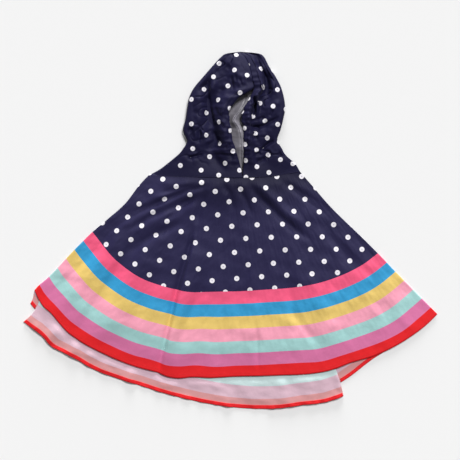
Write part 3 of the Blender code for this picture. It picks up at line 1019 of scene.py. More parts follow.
    def hem_line(self, points: Array, inset: float = 0.0085) -> Array:
        """The line of sewing that holds the turned hem.

        Args:
            points: the printed face.
            inset: how far in from the edge it lies.

        Returns:
            Points along the line, without its last few at both ends.
        """
        across = np.linspace(0.0, 1.0, self.columns + 1)
        neck = self.outline.neck_radius(across) - self.neck_gap
        share = 1.0 - inset / (through(across, *np.array(self.hem).T) - neck)
        return seam_path(points, self.rows * share, THREAD_LIFT)[3:-3]

    def build(self, finishes: list[Material], thread: Material) -> list[Object]:
        """Makes and dresses the panel, with its printed face up, and the sewing of its hem.

        Args:
            finishes: of the printed face and of the coated one.
            thread: of the sewing.

        Returns:
            The pieces.
        """
        points, cut = self.surface()
        dots = FRONT_DOTS.place(points[..., 0], points[..., 1])
        piece = dress(grid_piece("front_cloth", points, cut, dots, finishes), "front_cloth", "front_panel")
        row = dress(StitchRow("front_hem_stitches", self.hem_line(points)).build(thread), "front_cloth")
        return [piece, row]


@dataclass
class BackPanel:
    """The back, wrong side up where it shows, with one knife pleat at each side.

    Attributes:
        outline: the body's seams.
        layers: its own three layers.
        front_hem: across, then the radius of the front's hem, beyond which the back is bare.
        rows: rows of the grid.
        density: columns for one unit across.
        bend: columns in the turn from one layer to another.
        bend_width: width of cloth that such a turn takes.
        neck_gap: from the neck seam's line to the first row.
        bare_from: how far past the front's hem the slackness starts and is full.
        cut_turn: degrees of the cut for one unit across.
        slack: random slackness of the bare cloth.
        slack_lift: height about which it plays.
        path: for each point from the left seam to the right one, its place across, the layer that
            the stretch from there lies in, and the radius of the hem.
        folds: folds that stand in the bare cloth.
    """

    outline: BodyOutline
    layers: PleatLayers
    front_hem: tuple[Point, ...]
    rows: int = 120
    density: int = 150
    bend: int = 6
    bend_width: float = 0.004
    neck_gap: float = 0.001
    bare_from: Point = (0.003, 0.018)
    cut_turn: float = 80.0
    slack: tuple[Crinkle, ...] = (Crinkle(0.0011, 0.052, 7, 1 / 0.55), Crinkle(0.00035, 0.021, 8))
    slack_lift: float = 0.0013
    path: tuple[tuple[float, int, float], ...] = (
        (0.000, 0, 0.7730), (0.155, 1, 0.8000), (0.018, 2, 0.8160), (0.032, 2, 0.8150),
        (0.047, 2, 0.8132), (0.072, 2, 0.8150), (0.097, 2, 0.8207), (0.122, 2, 0.8175),
        (0.147, 2, 0.8150), (0.197, 2, 0.8160), (0.247, 2, 0.8122), (0.297, 2, 0.8090),
        (0.347, 2, 0.8098), (0.397, 2, 0.8120), (0.447, 2, 0.8150), (0.497, 2, 0.8190),
        (0.547, 2, 0.8220), (0.597, 2, 0.8240), (0.647, 2, 0.8234), (0.697, 2, 0.8270),
        (0.722, 2, 0.8252), (0.735, 1, 0.8240), (0.614, 0, 0.8000), (0.737, 0, 0.7910),
        (0.772, 0, 0.7800), (0.797, 0, 0.7710), (0.822, 0, 0.7640), (0.880, 0, 0.7560),
        (1.000, 0, 0.7487),
    )
    folds: tuple[Fold, ...] = (
        Fold(((-0.400, -0.215), (-0.440, -0.270)), 0.013, 0.011, 0.0040),
        Fold(((-0.355, -0.245), (-0.392, -0.310)), 0.016, 0.012, 0.0036),
        Fold(((-0.285, -0.285), (-0.312, -0.350)), 0.018, 0.012, 0.0030),
        Fold(((-0.225, -0.310), (-0.250, -0.380)), 0.016, 0.012, 0.0030),
        Fold(((-0.158, -0.330), (-0.176, -0.400)), 0.014, 0.020, 0.0026),
        Fold(((-0.060, -0.350), (-0.068, -0.425)), 0.018, 0.014, 0.0024),
        Fold(((0.045, -0.350), (0.052, -0.425)), 0.020, 0.014, 0.0020),
        Fold(((0.120, -0.350), (0.132, -0.420)), 0.016, 0.018, 0.0024),
        Fold(((0.205, -0.330), (0.228, -0.400)), 0.016, 0.012, 0.0020),
    )

    def relief(self, x: Array, y: Array) -> Array:
        """How far the bare cloth stands off the floor: the folds and a random slackness."""
        slack = fold_sum(self.slack, x, y)
        return fold_sum(self.folds, x, y) + np.maximum(slack + self.slack_lift, 0.0)

    def columns(self) -> Array:
        """The path as columns of the grid: across folded, across spread, layer, hem, step aside.

        Between points the columns are evenly spaced. Where the layer changes, the cloth turns
        through half a circle, so the layer moves by half of one less the cosine of the turn.

        Returns:
            Five rows, one for each quantity.
        """
        stations: list[Array] = []
        spread = 0.0
        for (a, layer, hem), (b, next_layer, next_hem) in zip(self.path, self.path[1:]):
            length = abs(b - a)
            share = np.linspace(0.0, 1.0, max(3, round(length * self.density)) + 1)
            share = share[1:] if stations else share
            stations.append(np.stack([
                a + share * (b - a), spread + share * length, np.full(share.shape, float(layer)),
                hem + share * (next_hem - hem), np.zeros(share.shape),
            ]))
            spread += length
            if next_layer != layer and b != self.path[-1][0]:
                turn = math.pi * np.arange(1, self.bend + 1) / self.bend
                aside = math.copysign(LAYER / 2, b - a) * np.sin(turn)
                level = layer + (next_layer - layer) * (1.0 - np.cos(turn)) / 2
                run = spread + self.bend_width * turn / math.pi
                stations.append(np.stack([
                    np.full(turn.shape, b), run, level, np.full(turn.shape, next_hem), aside,
                ]))
                spread += self.bend_width
        return np.concatenate(stations, axis=1)

    def surface(self) -> tuple[Array, Array]:
        """The middle of the cloth and its flat cut.

        Near the neck the cloth lies spread; further down it slides to its folded place, once its
        layers have parted in height.

        Returns:
            Points and places on the cut.
        """
        folded, run, layer, hem, aside = self.columns()
        spread = run / run[-1]
        neck = self.outline.neck_radius(spread) - self.neck_gap
        radius = neck + np.linspace(0.0, 1.0, self.rows + 1)[:, None] * (hem - neck)
        pleated = smoothstep(radius, *self.layers.pleated)
        parted = smoothstep(radius, *self.layers.parted)
        across = spread + pleated * (folded - spread)
        x, y = self.outline.place(across, radius)
        upper = np.clip(layer - 1.0, 0.0, 1.0)
        height = layer * (1.0 - upper * (1.0 - self.layers.share(across)))
        covered = through(np.clip(across, 0.0, 1.0), *np.array(self.front_hem).T)
        bare = upper * smoothstep(radius, *(covered + beyond for beyond in self.bare_from))
        z = REST / 2 + LAYER * height * parted + self.relief(x, y) * bare
        angle = np.radians(self.outline.sides[0][1] + self.cut_turn * run)
        return pair(x + aside * pleated, y, z), on_ring(BACK_CUT_HEM - (hem - radius), angle)

    def build(self, finishes: list[Material], thread: Material) -> list[Object]:
        """Makes and dresses the panel, with its coated face up where it is not turned over, and its hem.

        Args:
            finishes: of the printed face and of the coated one.
            thread: of the sewing.

        Returns:
            The pieces.
        """
        points, cut = self.surface()
        made = grid_piece("back_cloth", points, cut, cut / DOT_PITCH, finishes[::-1], 0.0)
        piece = dress(made, "back_cloth", "back_panel")
        bands = TurnedHem(self).build(finishes, thread)
        return [piece, *bands]


@dataclass(frozen=True)
class HemStretch:
    """One bare stretch of the turned hem.

    Attributes:
        name: the piece's name.
        node: the solid that it stands for.
        start: place across where it starts.
        end: place across where it ends.
        first: number of the point of the back's path where its stretch of cloth starts.
        last: number of the point where that ends.
        layer: the layer that it lies in.
    """

    name: str
    node: str
    start: float
    end: float
    first: int
    last: int
    layer: int


@dataclass
class TurnedHem:
    """The back's hem, turned up on the inside, printed face up: a narrow band along the edge.

    Attributes:
        back: the back that it belongs to.
        width: width of the band.
        rows: rows of the grid.
        density: columns for one unit across.
        overhang: how far its fold stands out past the back's edge.
        clearance: from the cloth beneath to the band.
        rounded: share of the width that turns down over the edge.
        pucker: height of the puckers that the thread draws.
        pucker_waves: waves of the pucker for one unit across, then how far and how fast it strays.
        stretches: the three stretches that show.
    """

    back: BackPanel
    width: float = 0.009
    rows: int = 8
    density: int = 420
    overhang: float = 0.0003
    clearance: float = 0.0004
    rounded: float = 0.14
    pucker: float = 0.00025
    pucker_waves: tuple[float, float, float] = (900.0, 6.0, 37.0)
    stretches: tuple[HemStretch, ...] = (
        HemStretch("turned_hem_left", "back_hem_fold_left", 0.001, 0.0150, 0, 1, 0),
        HemStretch("turned_hem", "back_hem_fold", 0.0182, 0.7345, 2, 21, 2),
        HemStretch("turned_hem_right", "back_hem_fold_right", 0.7375, 0.920, 22, 28, 0),
    )

    def surface(self, stretch: HemStretch) -> tuple[Array, Array]:
        """The band's printed face and its flat cut.

        It is the back's own surface, moved up by one layer, with its outer edge turned down over
        the hem by a quarter circle.

        Args:
            stretch: which stretch.

        Returns:
            Points and places on the cut.
        """
        run = self.back.path[stretch.first : stretch.last + 1]
        columns = max(8, round((stretch.end - stretch.start) * self.density))
        across = np.linspace(stretch.start, stretch.end, columns + 1)[None, :]
        hem = through(across, *np.array([(place, radius) for place, _, radius in run]).T)
        share = np.linspace(0.0, 1.0, self.rows + 1)[:, None]
        radius = hem - self.width * (1.0 - share) + self.overhang
        x, y = self.back.outline.place(across, radius)
        z = REST + stretch.layer * LAYER * self.back.layers.share(across) + CLOTH + self.clearance
        if stretch.layer:
            z = z + self.back.relief(x, y)
        turned = np.clip((share - (1.0 - self.rounded)) / self.rounded, 0.0, 1.0)
        z = z - REST * (1.0 - np.sqrt(1.0 - turned ** 2))
        waves, stray, stray_waves = self.pucker_waves
        wave = np.sin(across * waves + stray * np.sin(across * stray_waves))
        z = z + self.pucker * wave * np.sin(math.pi * share)
        angle = np.radians(self.back.outline.angle(across, radius))
        return pair(x, y, z), on_ring(BACK_CUT_HEM - self.width * (1.0 - share), angle)

    def build(self, finishes: list[Material], thread: Material) -> list[Object]:
        """Makes and dresses the stretches, printed face up, each with the sewing by its inner edge.

        Args:
            finishes: of the printed face and of the coated one.
            thread: of the sewing.

        Returns:
            The pieces, each stretch before its sewing.
        """
        pieces = []
        for stretch in self.stretches:
            points, cut = self.surface(stretch)
            band = grid_piece(stretch.name, points, cut, cut / DOT_PITCH, finishes)
            line = seam_path(points, np.full(points.shape[1], 1.0), THREAD_LIFT)[1:-1]
            row = StitchRow(stretch.name + "_stitches", line).build(thread)
            pieces += [dress(band, "hem_cloth", stretch.node), dress(row, "hem_cloth")]
        return pieces


# ---- the hood ------------------------------------------------------------------------------------
@dataclass(frozen=True)
class HoodSection:
    """One section across the hood, from the neck seam (first) to the crown (last).

    Attributes:
        centre: the middle of the face opening, or the crown seam.
        left: where the left outline lies.
        right: where the right outline lies.
        slit: half the width of the face opening.
        turn: how far the casing turns down into it, in degrees.
        ridge: height of the brim.
        valleys: x of the crease between brim and cheek, left and right.
        valley: height of that crease, left and right.
        puff: height of the cheek.
        edge: half the height of the outer edge.
        seam: x and height of the seam down the back of the head, under the hood.
    """

    centre: Point
    left: Point
    right: Point
    slit: float
    turn: float
    ridge: float
    valleys: Point
    valley: Point
    puff: float
    edge: float
    seam: Point


HOOD = (
    HoodSection((.0300, .1270), (-.1920, .1270), (.1668, .1270), .0000, 4, .0103, (-.020, .080),
                (.0080, .0080), .005, .00115, (.030, .0000)),
    HoodSection((.0290, .1493), (-.1560, .1565), (.1560, .1565), .0028, 40, .0145, (-.024, .072),
                (.0085, .0090), .009, .0032, (.029, .0010)),
    HoodSection((.0258, .1733), (-.1248, .1805), (.1332, .1805), .0062, 85, .0200, (-.036, .062),
                (.0080, .0100), .011, .0042, (.027, .0080)),
    HoodSection((.0226, .1925), (-.1128, .1949), (.1248, .1949), .0090, 105, .0240, (-.044, .060),
                (.0070, .0140), .013, .0054, (.0270, .0190)),
    HoodSection((.0192, .2141), (-.1032, .2129), (.1135, .2165), .0122, 105, .0270, (-.035, .058),
                (.0080, .0150), .015, .0066, (.0262, .0215)),
    HoodSection((.0173, .2405), (-.1128, .2381), (.1212, .2405), .0137, 105, .0290, (-.039, .057),
                (.0100, .0170), .018, .0080, (.0214, .0240)),
    HoodSection((.0130, .2630), (-.1068, .2645), (.1284, .2693), .0142, 105, .0310, (-.045, .056),
                (.0105, .0180), .020, .0090, (.0095, .0245)),
    HoodSection((.0154, .2851), (-.1032, .2885), (.1320, .2909), .0152, 105, .0320, (-.047, .056),
                (.0105, .0180), .021, .0090, (.0230, .0135)),
    HoodSection((.0319, .3125), (-.0984, .3149), (.1296, .3149), .0130, 90, .0320, (-.047, .060),
                (.0110, .0160), .021, .0090, (.0380, .0010)),
    HoodSection((.0560, .3377), (-.0876, .3389), (.1224, .3413), .0008, 30, .0300, (-.046, .082),
                (.0130, .0110), .020, .0088, (.038, .0000)),
    HoodSection((.0530, .3605), (-.0648, .3665), (.1104, .3653), .0000, 6, .0265, (-.044, .086),
                (.0150, .0100), .018, .0084, (.036, .0000)),
    HoodSection((.0470, .3893), (-.0408, .3941), (.0936, .3917), .0000, 6, .0215, (-.020, .078),
                (.0170, .0120), .016, .0080, (.033, .0000)),
    HoodSection((.0380, .4109), (-.0228, .4133), (.0816, .4145), .0000, 6, .0150, (.000, .064),
                (.0135, .0130), .013, .0076, (.030, .0000)),
    HoodSection((.0300, .4205), (-.0096, .4222), (.0672, .4229), .0000, 6, .0100, (.010, .050),
                (.0100, .0100), .010, .0070, (.027, .0000)),
    HoodSection((.0240, .4274), (.0215, .4274), (.0265, .4274), .0000, 6, .0034, (.0226, .0254),
                (.0034, .0034), .0034, .0017, (.024, .0000)),
)
HOOD_PITCH = 0.0225     # from one section to the next along the hood, about
CHEEK_WIDTH = 0.10      # from the brim to the outer edge, about


@dataclass
class HoodHalf:
    """One side of the hood, which lies on its back with the face opening uppermost.

    A section runs from the casing's free edge inside the opening, over the brim, the crease and
    the puffed cheek, round the outer edge and back underneath to the seam. Numbers of sections
    are counted from the neck seam.

    Attributes:
        side: which side.
        outline: the body's seams.
        rows: rows of the grid, along the hood.
        strip: columns of the turned casing.
        top: columns of the upper layer.
        round: columns of the turn at the outer edge.
        under: columns of the layer beneath.
        casing: width of the casing.
        casing_most: most of the way to the outer edge that it takes.
        turn_most: most of that way that the turn at the outer edge takes.
        gap: least half width of the opening.
        scallop: how far the elastic draws the opening's edge in and out.
        scallop_from: half widths of the opening between which it starts to.
        ridge_at: where the brim's ridge lies, as a share of the way to the outer edge.
        crease_span: least and most share for the crease between brim and cheek.
        puff_at: the share of the cheek's middle.
        brim_start: height of the brim's fold, as a share of the ridge.
        crowding: power that crowds the columns towards the brim.
        gather: the gathers beside the opening.
        gather_reach: share of the way over which they die away.
        gather_rows: sections between which they start, and between which they end.
        smooth_edges: shares over which the creases fade at the brim and at the outer edge.
        crease_rows: sections between which the random creases come in.
        crinkles: soft crinkles of the upper layer.
        crumple: its crisp ones.
        least: height that no crease of the upper layer goes below.
        seam_gap: half the gap between the halves along the seam beneath.
        crest: rounding of the crest that this seam makes.
        crest_width: how wide the crest is, and how much wider near the neck.
        crest_rows: sections between which that goes.
        slack: height of the crumples inside the opening.
        slack_crinkles: what these crumples play by.
        slack_reach: how far from the seam they go.
        slack_from: heights of the crest between which they come in.
        neck_rows: number of sections over which the hood settles on the neck seam.
        overlap: how far the upper layer passes beyond the neck seam, and the lower one stays short.
        neck_clearance: from the body's upper layer to the hood's, at the neck seam.
        seams: for each line of sewing on the upper layer its name, how far it lies from the brim's
            fold, and the sections between which it runs.
        row: the rows' places among the sections.
        part: which of a section's pairs is this side's.
    """

    side: Side
    outline: BodyOutline
    rows: int = 170
    strip: int = 8
    top: int = 84
    round: int = 10
    under: int = 22
    casing: float = 0.014
    casing_most: float = 0.25
    turn_most: float = 0.35
    gap: float = 0.0002
    scallop: Crinkle = Crinkle(0.0007, 0.013, 31)
    scallop_from: Point = (0.004, 0.010)
    ridge_at: float = 0.12
    crease_span: Point = (0.24, 0.58)
    puff_at: float = 0.72
    brim_start: float = 0.93
    crowding: float = 1.15
    gather: Crinkle = Crinkle(0.0009, 0.034, 11, 0.42)
    gather_reach: float = 0.60
    gather_rows: tuple[float, float, float, float] = (0.5, 2.0, 9.5, 11.5)
    smooth_edges: Point = (0.06, 0.10)
    crease_rows: Point = (0.6, 2.4)
    crinkles: tuple[Crinkle, ...] = (Crinkle(0.0010, 0.050, 21), Crinkle(0.0005, 0.020, 22))
    crumple: CreaseLines = CreaseLines(
        0.0042, 0.16, Crinkle(1.0, 0.044, 60), Crinkle(1.0, 2.2 * 0.044, 110)
    )
    least: float = 0.0032
    seam_gap: float = 0.00003
    crest: float = 0.0010
    crest_width: Point = (0.0085, 0.016)
    crest_rows: Point = (4.4, 6.2)
    slack: float = 0.0009
    slack_crinkles: tuple[Crinkle, ...] = (Crinkle(0.00072, 0.020, 41), Crinkle(0.00036, 0.008, 42))
    slack_reach: float = 0.045
    slack_from: Point = (0.003, 0.012)
    neck_rows: float = 2.0
    overlap: Point = (0.0022, 0.0010)
    neck_clearance: float = 0.0008
    seams: tuple[tuple[str, float, float, float], ...] = (
        ("casing", 0.0115, 1.0, 8.6), ("crown", 0.0022, 9.6, 13.2),
    )
    row: Array = field(init=False)
    part: int = field(init=False)

    def __post_init__(self) -> None:
        """Sets the rows' places among the sections, and which of a section's pairs is this side's."""
        self.row = np.linspace(0.0, len(HOOD) - 1.0, self.rows + 1)[:, None]
        self.part = 0 if self.side is Side.LEFT else 1

    def own(self, crinkle: Crinkle) -> Crinkle:
        """The same crinkles with this side's own draw."""
        return replace(crinkle, seed=crinkle.seed + self.part)

    def column(self, name: str, part: int | None = None) -> Array:
        """One quantity of the sections, or one of a pair, smoothed along the hood to each row."""
        values = np.array([getattr(s, name) if part is None else getattr(s, name)[part] for s in HOOD])
        return through(self.row, np.arange(len(HOOD)), values)

    def places(self, name: str) -> Array:
        """X and Y of one of the sections' points, at each row."""
        return np.concatenate([self.column(name, 0), self.column(name, 1)], 1)

    def gathers(self, shares: Array) -> Array:
        """Fine gathers that the elastic draws beside the opening.

        They are random creases, longer across the cheek than along the slit, that die away over
        the cheek and at both ends of the opening.

        Args:
            shares: shares of the way from the brim to the outer edge.

        Returns:
            Heights.
        """
        start, full, end, gone = self.gather_rows
        heights = self.own(self.gather).field(shares * CHEEK_WIDTH, self.row * HOOD_PITCH)
        near = 1.0 - smoothstep(shares, 0.0, self.gather_reach)
        return heights * near * smoothstep(self.row, start, full) * (1.0 - smoothstep(self.row, end, gone))

    def upper(self, centre: Array, forward: Array, length: Array, rounding: Array
              ) -> tuple[Array, Array, Array]:
        """The profile of the upper layer, from the casing's free edge to the outer edge's turn.

        The casing turns down in even steps, as a cumulative sum of cosines and sines. The layer
        itself passes through five heights: the brim's fold, its ridge, the crease, the cheek and
        the outer edge, which is rounded by a half circle.

        Args:
            centre: middle of the opening, at each row.
            forward: the way from there to the outer edge.
            length: how far that is.
            rounding: how far the outer edge's turn reaches.

        Returns:
            Distances from the middle, heights, and 1 where creases may stand.
        """
        scallop = self.own(self.scallop).field(self.row * HOOD_PITCH, np.zeros_like(self.row))
        slit = np.maximum(self.column("slit"), self.gap)
        slit = slit + scallop * smoothstep(slit, *self.scallop_from)
        turn = np.radians(np.maximum(self.column("turn"), 0.0)) * np.arange(1, self.strip + 1) / self.strip
        casing = np.minimum(self.casing, self.casing_most * length) / self.strip
        inwards, downwards = -np.cumsum(np.cos(turn), axis=1), -np.cumsum(np.sin(turn), axis=1)
        brim = slit - casing * np.minimum(0.0, inwards.min(axis=1, keepdims=True))

        shares = np.linspace(0.0, 1.0, self.top + 1)[None, :] ** self.crowding
        span = length - rounding - brim
        crease = (self.column("valleys", self.part) - centre[:, :1]) / forward[:, :1] - brim
        knots = np.concatenate([
            np.zeros_like(span), np.full_like(span, self.ridge_at),
            np.clip(crease / span, *self.crease_span),
            np.full_like(span, self.puff_at), np.ones_like(span),
        ], 1)
        edge, ridge, puff = (self.column(name) for name in ("edge", "ridge", "puff"))
        stops = [self.brim_start * ridge, ridge, self.column("valley", self.part), puff, 2 * edge]
        heights = through_rows(np.tile(shares, (len(span), 1)), knots, np.concatenate(stops, 1))
        heights = heights + self.gathers(shares)

        bend = math.pi * np.arange(1, self.round)[None, :] / self.round
        along = np.concatenate([
            (brim + casing * inwards)[:, ::-1], brim + shares * span,
            length - rounding + rounding * np.sin(bend),
        ], 1)
        up = np.concatenate([
            (heights[:, :1] + casing * downwards)[:, ::-1], heights, edge + edge * np.cos(bend),
        ], 1)
        fade_in, fade_out = self.smooth_edges
        on_top = smoothstep(shares, 0.0, fade_in) * (1.0 - smoothstep(shares, 1.0 - fade_out, 1.0))
        return along, up, np.pad(on_top, ((0, 0), (self.strip, self.round - 1)))

    def creased(self, x: Array, y: Array, plain: Array, on_top: Array) -> Array:
        """The upper layer's heights with its creases, which never go below the least height.

        The placed folds and the soft crinkles are added to the plain heights, and the depths of the
        crisp creases are taken off.

        Args:
            x: places across.
            y: places along.
            plain: heights without creases.
            on_top: 1 where creases may stand.

        Returns:
            Heights.
        """
        away = on_top * smoothstep(self.row, *self.crease_rows)
        lines, patches = self.own(self.crumple.lines), self.own(self.crumple.patches)
        crumples = replace(self.crumple, lines=lines, patches=patches)
        up = plain + fold_sum(HOOD_CREASES[self.side], x, y) * on_top
        up = up + (fold_sum(self.crinkles, x, y) - crumples.field(x, y)) * away
        return np.where(on_top > 0.0, np.maximum(up, np.minimum(self.least, plain)), up)

    def beneath(self, centre: Array, outer: Array, rounding: Array) -> tuple[Array, Array, Array]:
        """The layer beneath, from the outer edge's turn to the seam down the back of the head.

        Its height falls off exponentially from the crest that the seam makes, whose top is rounded
        by a hyperbola. Inside the opening it is crumpled too.

        Args:
            centre: middle of the opening, at each row.
            outer: the outer edge.
            rounding: how far its turn reaches.

        Returns:
            X, Y and heights.
        """
        seam = np.concatenate([self.column("seam", 0), centre[:, 1:]], 1)
        crest_height = np.maximum(self.column("seam", 1), 0.0)
        length = np.hypot(*(outer - seam).T)[:, None]
        way = (outer - seam) / length
        share = np.linspace(0.0, 1.0, self.under + 1)[None, :]
        from_seam = length - rounding + share * (self.seam_gap - length + rounding)
        x, y = (seam[:, k : k + 1] + from_seam * way[:, k : k + 1] for k in (0, 1))
        width, wider = self.crest_width
        width = width + wider * (1.0 - smoothstep(self.row, *self.crest_rows))
        tent = crest_height * np.exp((self.crest - np.hypot(from_seam, self.crest)) / width)
        near = np.exp(-((from_seam / self.slack_reach) ** 2)) * smoothstep(crest_height, *self.slack_from)
        return x, y, tent + near * np.maximum(self.slack + fold_sum(self.slack_crinkles, x, y), 0.0)

    def surface(self) -> tuple[Array, Array, Array]:
        """The outer face, its place on the floor and its place on the lattice of dots.

        Near the neck all sections slide on to the neck seam, and the upper layer takes its height.

        Returns:
            Points, floor places and lattice places.
        """
        centre, outer = self.places("centre"), self.places(self.side.value)
        length = np.hypot(*(outer - centre).T)[:, None]
        forward = (outer - centre) / length
        rounding = np.minimum(self.column("edge"), self.turn_most * length)
        along, up, on_top = self.upper(centre, forward, length, rounding)
        x, y = (centre[:, k : k + 1] + along * forward[:, k : k + 1] for k in (0, 1))
        layers = (x, y, self.creased(x, y, up, on_top)), self.beneath(centre, outer, rounding)
        x, y, up = (np.concatenate(both, 1) for both in zip(*layers))

        at_neck = 1.0 - smoothstep(self.row, 0.0, self.neck_rows)
        outside = (np.arange(x.shape[1]) < along.shape[1] - self.round // 2)[None, :]
        beyond, short = self.overlap
        target = self.outline.neck_y(x) + np.where(outside, -beyond, short)
        y = y + at_neck * (target - (HOOD[0].centre[1] + (y - centre[:, 1:])))
        up = up + at_neck * outside * (self.outline.neck_height(x) + self.neck_clearance - up)
        return pair(x, y, up), pair(x, y), self.unrolled(x, y, up)

    def unrolled(self, x: Array, y: Array, up: Array) -> Array:
        """Places on the lattice of dots.

        On top they follow the place on the floor. Inside the opening and beneath, they go on by
        arc length beyond the brim's fold and beyond the outer edge.

        Args:
            x: the sections' places across.
            y: their places along.
            up: their heights.

        Returns:
            Lattice places, in steps.
        """
        steps = np.linalg.norm(np.diff(pair(x, y, up), axis=1), axis=2)
        arc = np.concatenate([np.zeros((len(x), 1)), np.cumsum(steps, axis=1)], 1)
        outwards = -1.0 if self.side is Side.LEFT else 1.0
        spread = x.copy()
        rim = self.strip + self.top
        for fold, beyond in ((self.strip, slice(None, self.strip)), (rim, slice(rim + 1, None))):
            spread[:, beyond] = x[:, fold, None] + outwards * (arc[:, beyond] - arc[:, fold, None])
        return HOOD_DOTS[self.side].place(spread, y)

    def sewing(self, points: Array) -> dict[str, Array]:
        """The lines of sewing on the outer face: the casing's, the crown seam's and the neck's.

        Args:
            points: the outer face.

        Returns:
            For each line, its name and its points.
        """
        top = points[:, self.strip : self.strip + self.top + 1]
        run = np.cumsum(np.linalg.norm(np.diff(top[..., :2], axis=1), axis=2), axis=1)
        run = np.pad(run, ((0, 0), (1, 0)))
        lines = {}
        for name, inset, start, end in self.seams:
            chosen = np.flatnonzero((self.row >= start) & (self.row <= end))
            place = np.array([np.interp(inset, run[i], np.arange(self.top + 1)) for i in chosen])
            lines[name] = seam_path(top[chosen].transpose(1, 0, 2), place, THREAD_LIFT)
        lines["neck"] = top[1, 2:-3] + np.array([0.0, 0.0, THREAD_LIFT])
        return lines

    def build(self, finishes: list[Material], thread: Material) -> list[Object]:
        """Makes and dresses the half, with its printed face outwards, and its sewing.

        Args:
            finishes: of the printed face and of the coated one.
            thread: of the sewing.

        Returns:
            The pieces.
        """
        side = self.side.value
        points, cut, dots = self.surface()
        made = grid_piece("hood_cloth_" + side, points, cut, dots, finishes, turned=self.side is Side.LEFT)
        piece = dress(made, "hood_cloth", "hood_" + side)
        rows = [
            dress(StitchRow(f"hood_{side}_{name}_stitches", line).build(thread), "hood_cloth")
            for name, line in self.sewing(points).items()
        ]
        return [piece, *rows]


HOOD_CREASES = {
    Side.LEFT: (
        # the valley between brim and cheek, crisp towards the brim, and its lower end
        Fold(((-0.050, 0.362), (-0.0515, 0.345), (-0.0535, 0.318), (-0.048, 0.287), (-0.0415, 0.258),
              (-0.040, 0.243)), 0.0045, 0.013, -0.0120, 0.2),
        Fold(((-0.040, 0.238), (-0.034, 0.222), (-0.024, 0.211)), 0.004, 0.005, -0.0055),
        # the hollow beside the chin and the band that runs from it to the neck
        Fold(((-0.050, 0.214), (-0.045, 0.203), (-0.043, 0.190)), 0.014, 0.012, -0.0080, 0.4),
        Fold(((-0.044, 0.190), (-0.032, 0.167), (-0.0185, 0.151), (-0.007, 0.135)), 0.008, 0.010, -0.0056),
        # creases of the left cheek
        Fold(((-0.074, 0.247), (-0.0715, 0.229), (-0.076, 0.207)), 0.004, 0.007, -0.0075),
        Fold(((-0.064, 0.240), (-0.061, 0.218)), 0.006, 0.005, 0.0035),
        Fold(((-0.090, 0.245), (-0.087, 0.215)), 0.005, 0.006, -0.0030),
        Fold(((-0.104, 0.173), (-0.0816, 0.178), (-0.062, 0.182)), 0.003, 0.006, -0.0060),
        Fold(((-0.104, 0.238), (-0.088, 0.242)), 0.004, 0.006, -0.0035),
        # creases of the brim
        Fold(((-0.036, 0.297), (-0.031, 0.279), (-0.021, 0.273), (-0.004, 0.285)), 0.003, 0.005, -0.0026),
        Fold(((-0.030, 0.262), (-0.020, 0.252), (-0.012, 0.240)), 0.004, 0.004, -0.0024),
        Fold(((-0.032, 0.338), (-0.012, 0.334)), 0.004, 0.004, -0.0020),
        Fold(((0.003, 0.370), (0.006, 0.345), (0.010, 0.330)), 0.003, 0.003, -0.0034),
        Fold(((0.013, 0.372), (0.015, 0.352)), 0.003, 0.003, -0.0026),
        Fold(((0.022, 0.362), (0.029, 0.342)), 0.003, 0.003, -0.0026),
        Fold(((-0.010, 0.392), (0.002, 0.384)), 0.005, 0.005, -0.0020),
        # beside the chin's end of the opening
        Fold(((-0.014, 0.196), (0.004, 0.205)), 0.003, 0.004, -0.0018),
    ),
    Side.RIGHT: (
        # the valley between brim and cheek
        Fold(((0.084, 0.392), (0.090, 0.366), (0.0925, 0.343), (0.092, 0.320), (0.087, 0.306)),
             0.0065, 0.010, -0.0085, 0.3),
        # the crumpled brim beside the upper end of the opening
        Fold(((0.0500, 0.326), (0.0565, 0.312), (0.0595, 0.300), (0.0575, 0.284), (0.0565, 0.272)),
             0.0034, 0.0032, -0.0110, 0.3),
        Fold(((0.046, 0.312), (0.051, 0.300)), 0.0028, 0.003, -0.0060, 0.4),
        Fold(((0.058, 0.332), (0.064, 0.318), (0.0665, 0.300), (0.064, 0.278), (0.0635, 0.270)),
             0.0042, 0.005, 0.0098, 0.3),
        Fold(((0.058, 0.328), (0.062, 0.318)), 0.003, 0.003, 0.0020),
        Fold(((0.056, 0.284), (0.054, 0.272)), 0.003, 0.003, -0.0036),
        Fold(((0.046, 0.373), (0.052, 0.358), (0.0545, 0.344)), 0.003, 0.0035, -0.0058),
        Fold(((0.066, 0.360), (0.070, 0.342)), 0.003, 0.003, -0.0030),
        # the drags across the right cheek
        Fold(((0.060, 0.264), (0.084, 0.270)), 0.003, 0.004, -0.0040),
        Fold(((0.038, 0.248), (0.065, 0.246), (0.083, 0.2505), (0.0966, 0.2595), (0.1236, 0.272)),
             0.0035, 0.006, -0.0068),
        Fold(((0.094, 0.270), (0.103, 0.287)), 0.004, 0.003, -0.0040),
        Fold(((0.070, 0.188), (0.079, 0.1965), (0.091, 0.2065), (0.107, 0.2155)), 0.0035, 0.004, -0.0085),
        Fold(((0.058, 0.182), (0.075, 0.185)), 0.003, 0.004, -0.0040),
        Fold(((0.060, 0.160), (0.076, 0.168), (0.086, 0.176)), 0.004, 0.004, -0.0050),
        Fold(((0.046, 0.216), (0.070, 0.222)), 0.004, 0.004, -0.0026),
        # the soft hollow of the crown
        Fold(((0.0266, 0.408), (0.049, 0.391), (0.072, 0.384)), 0.009, 0.007, -0.0048),
    ),
}


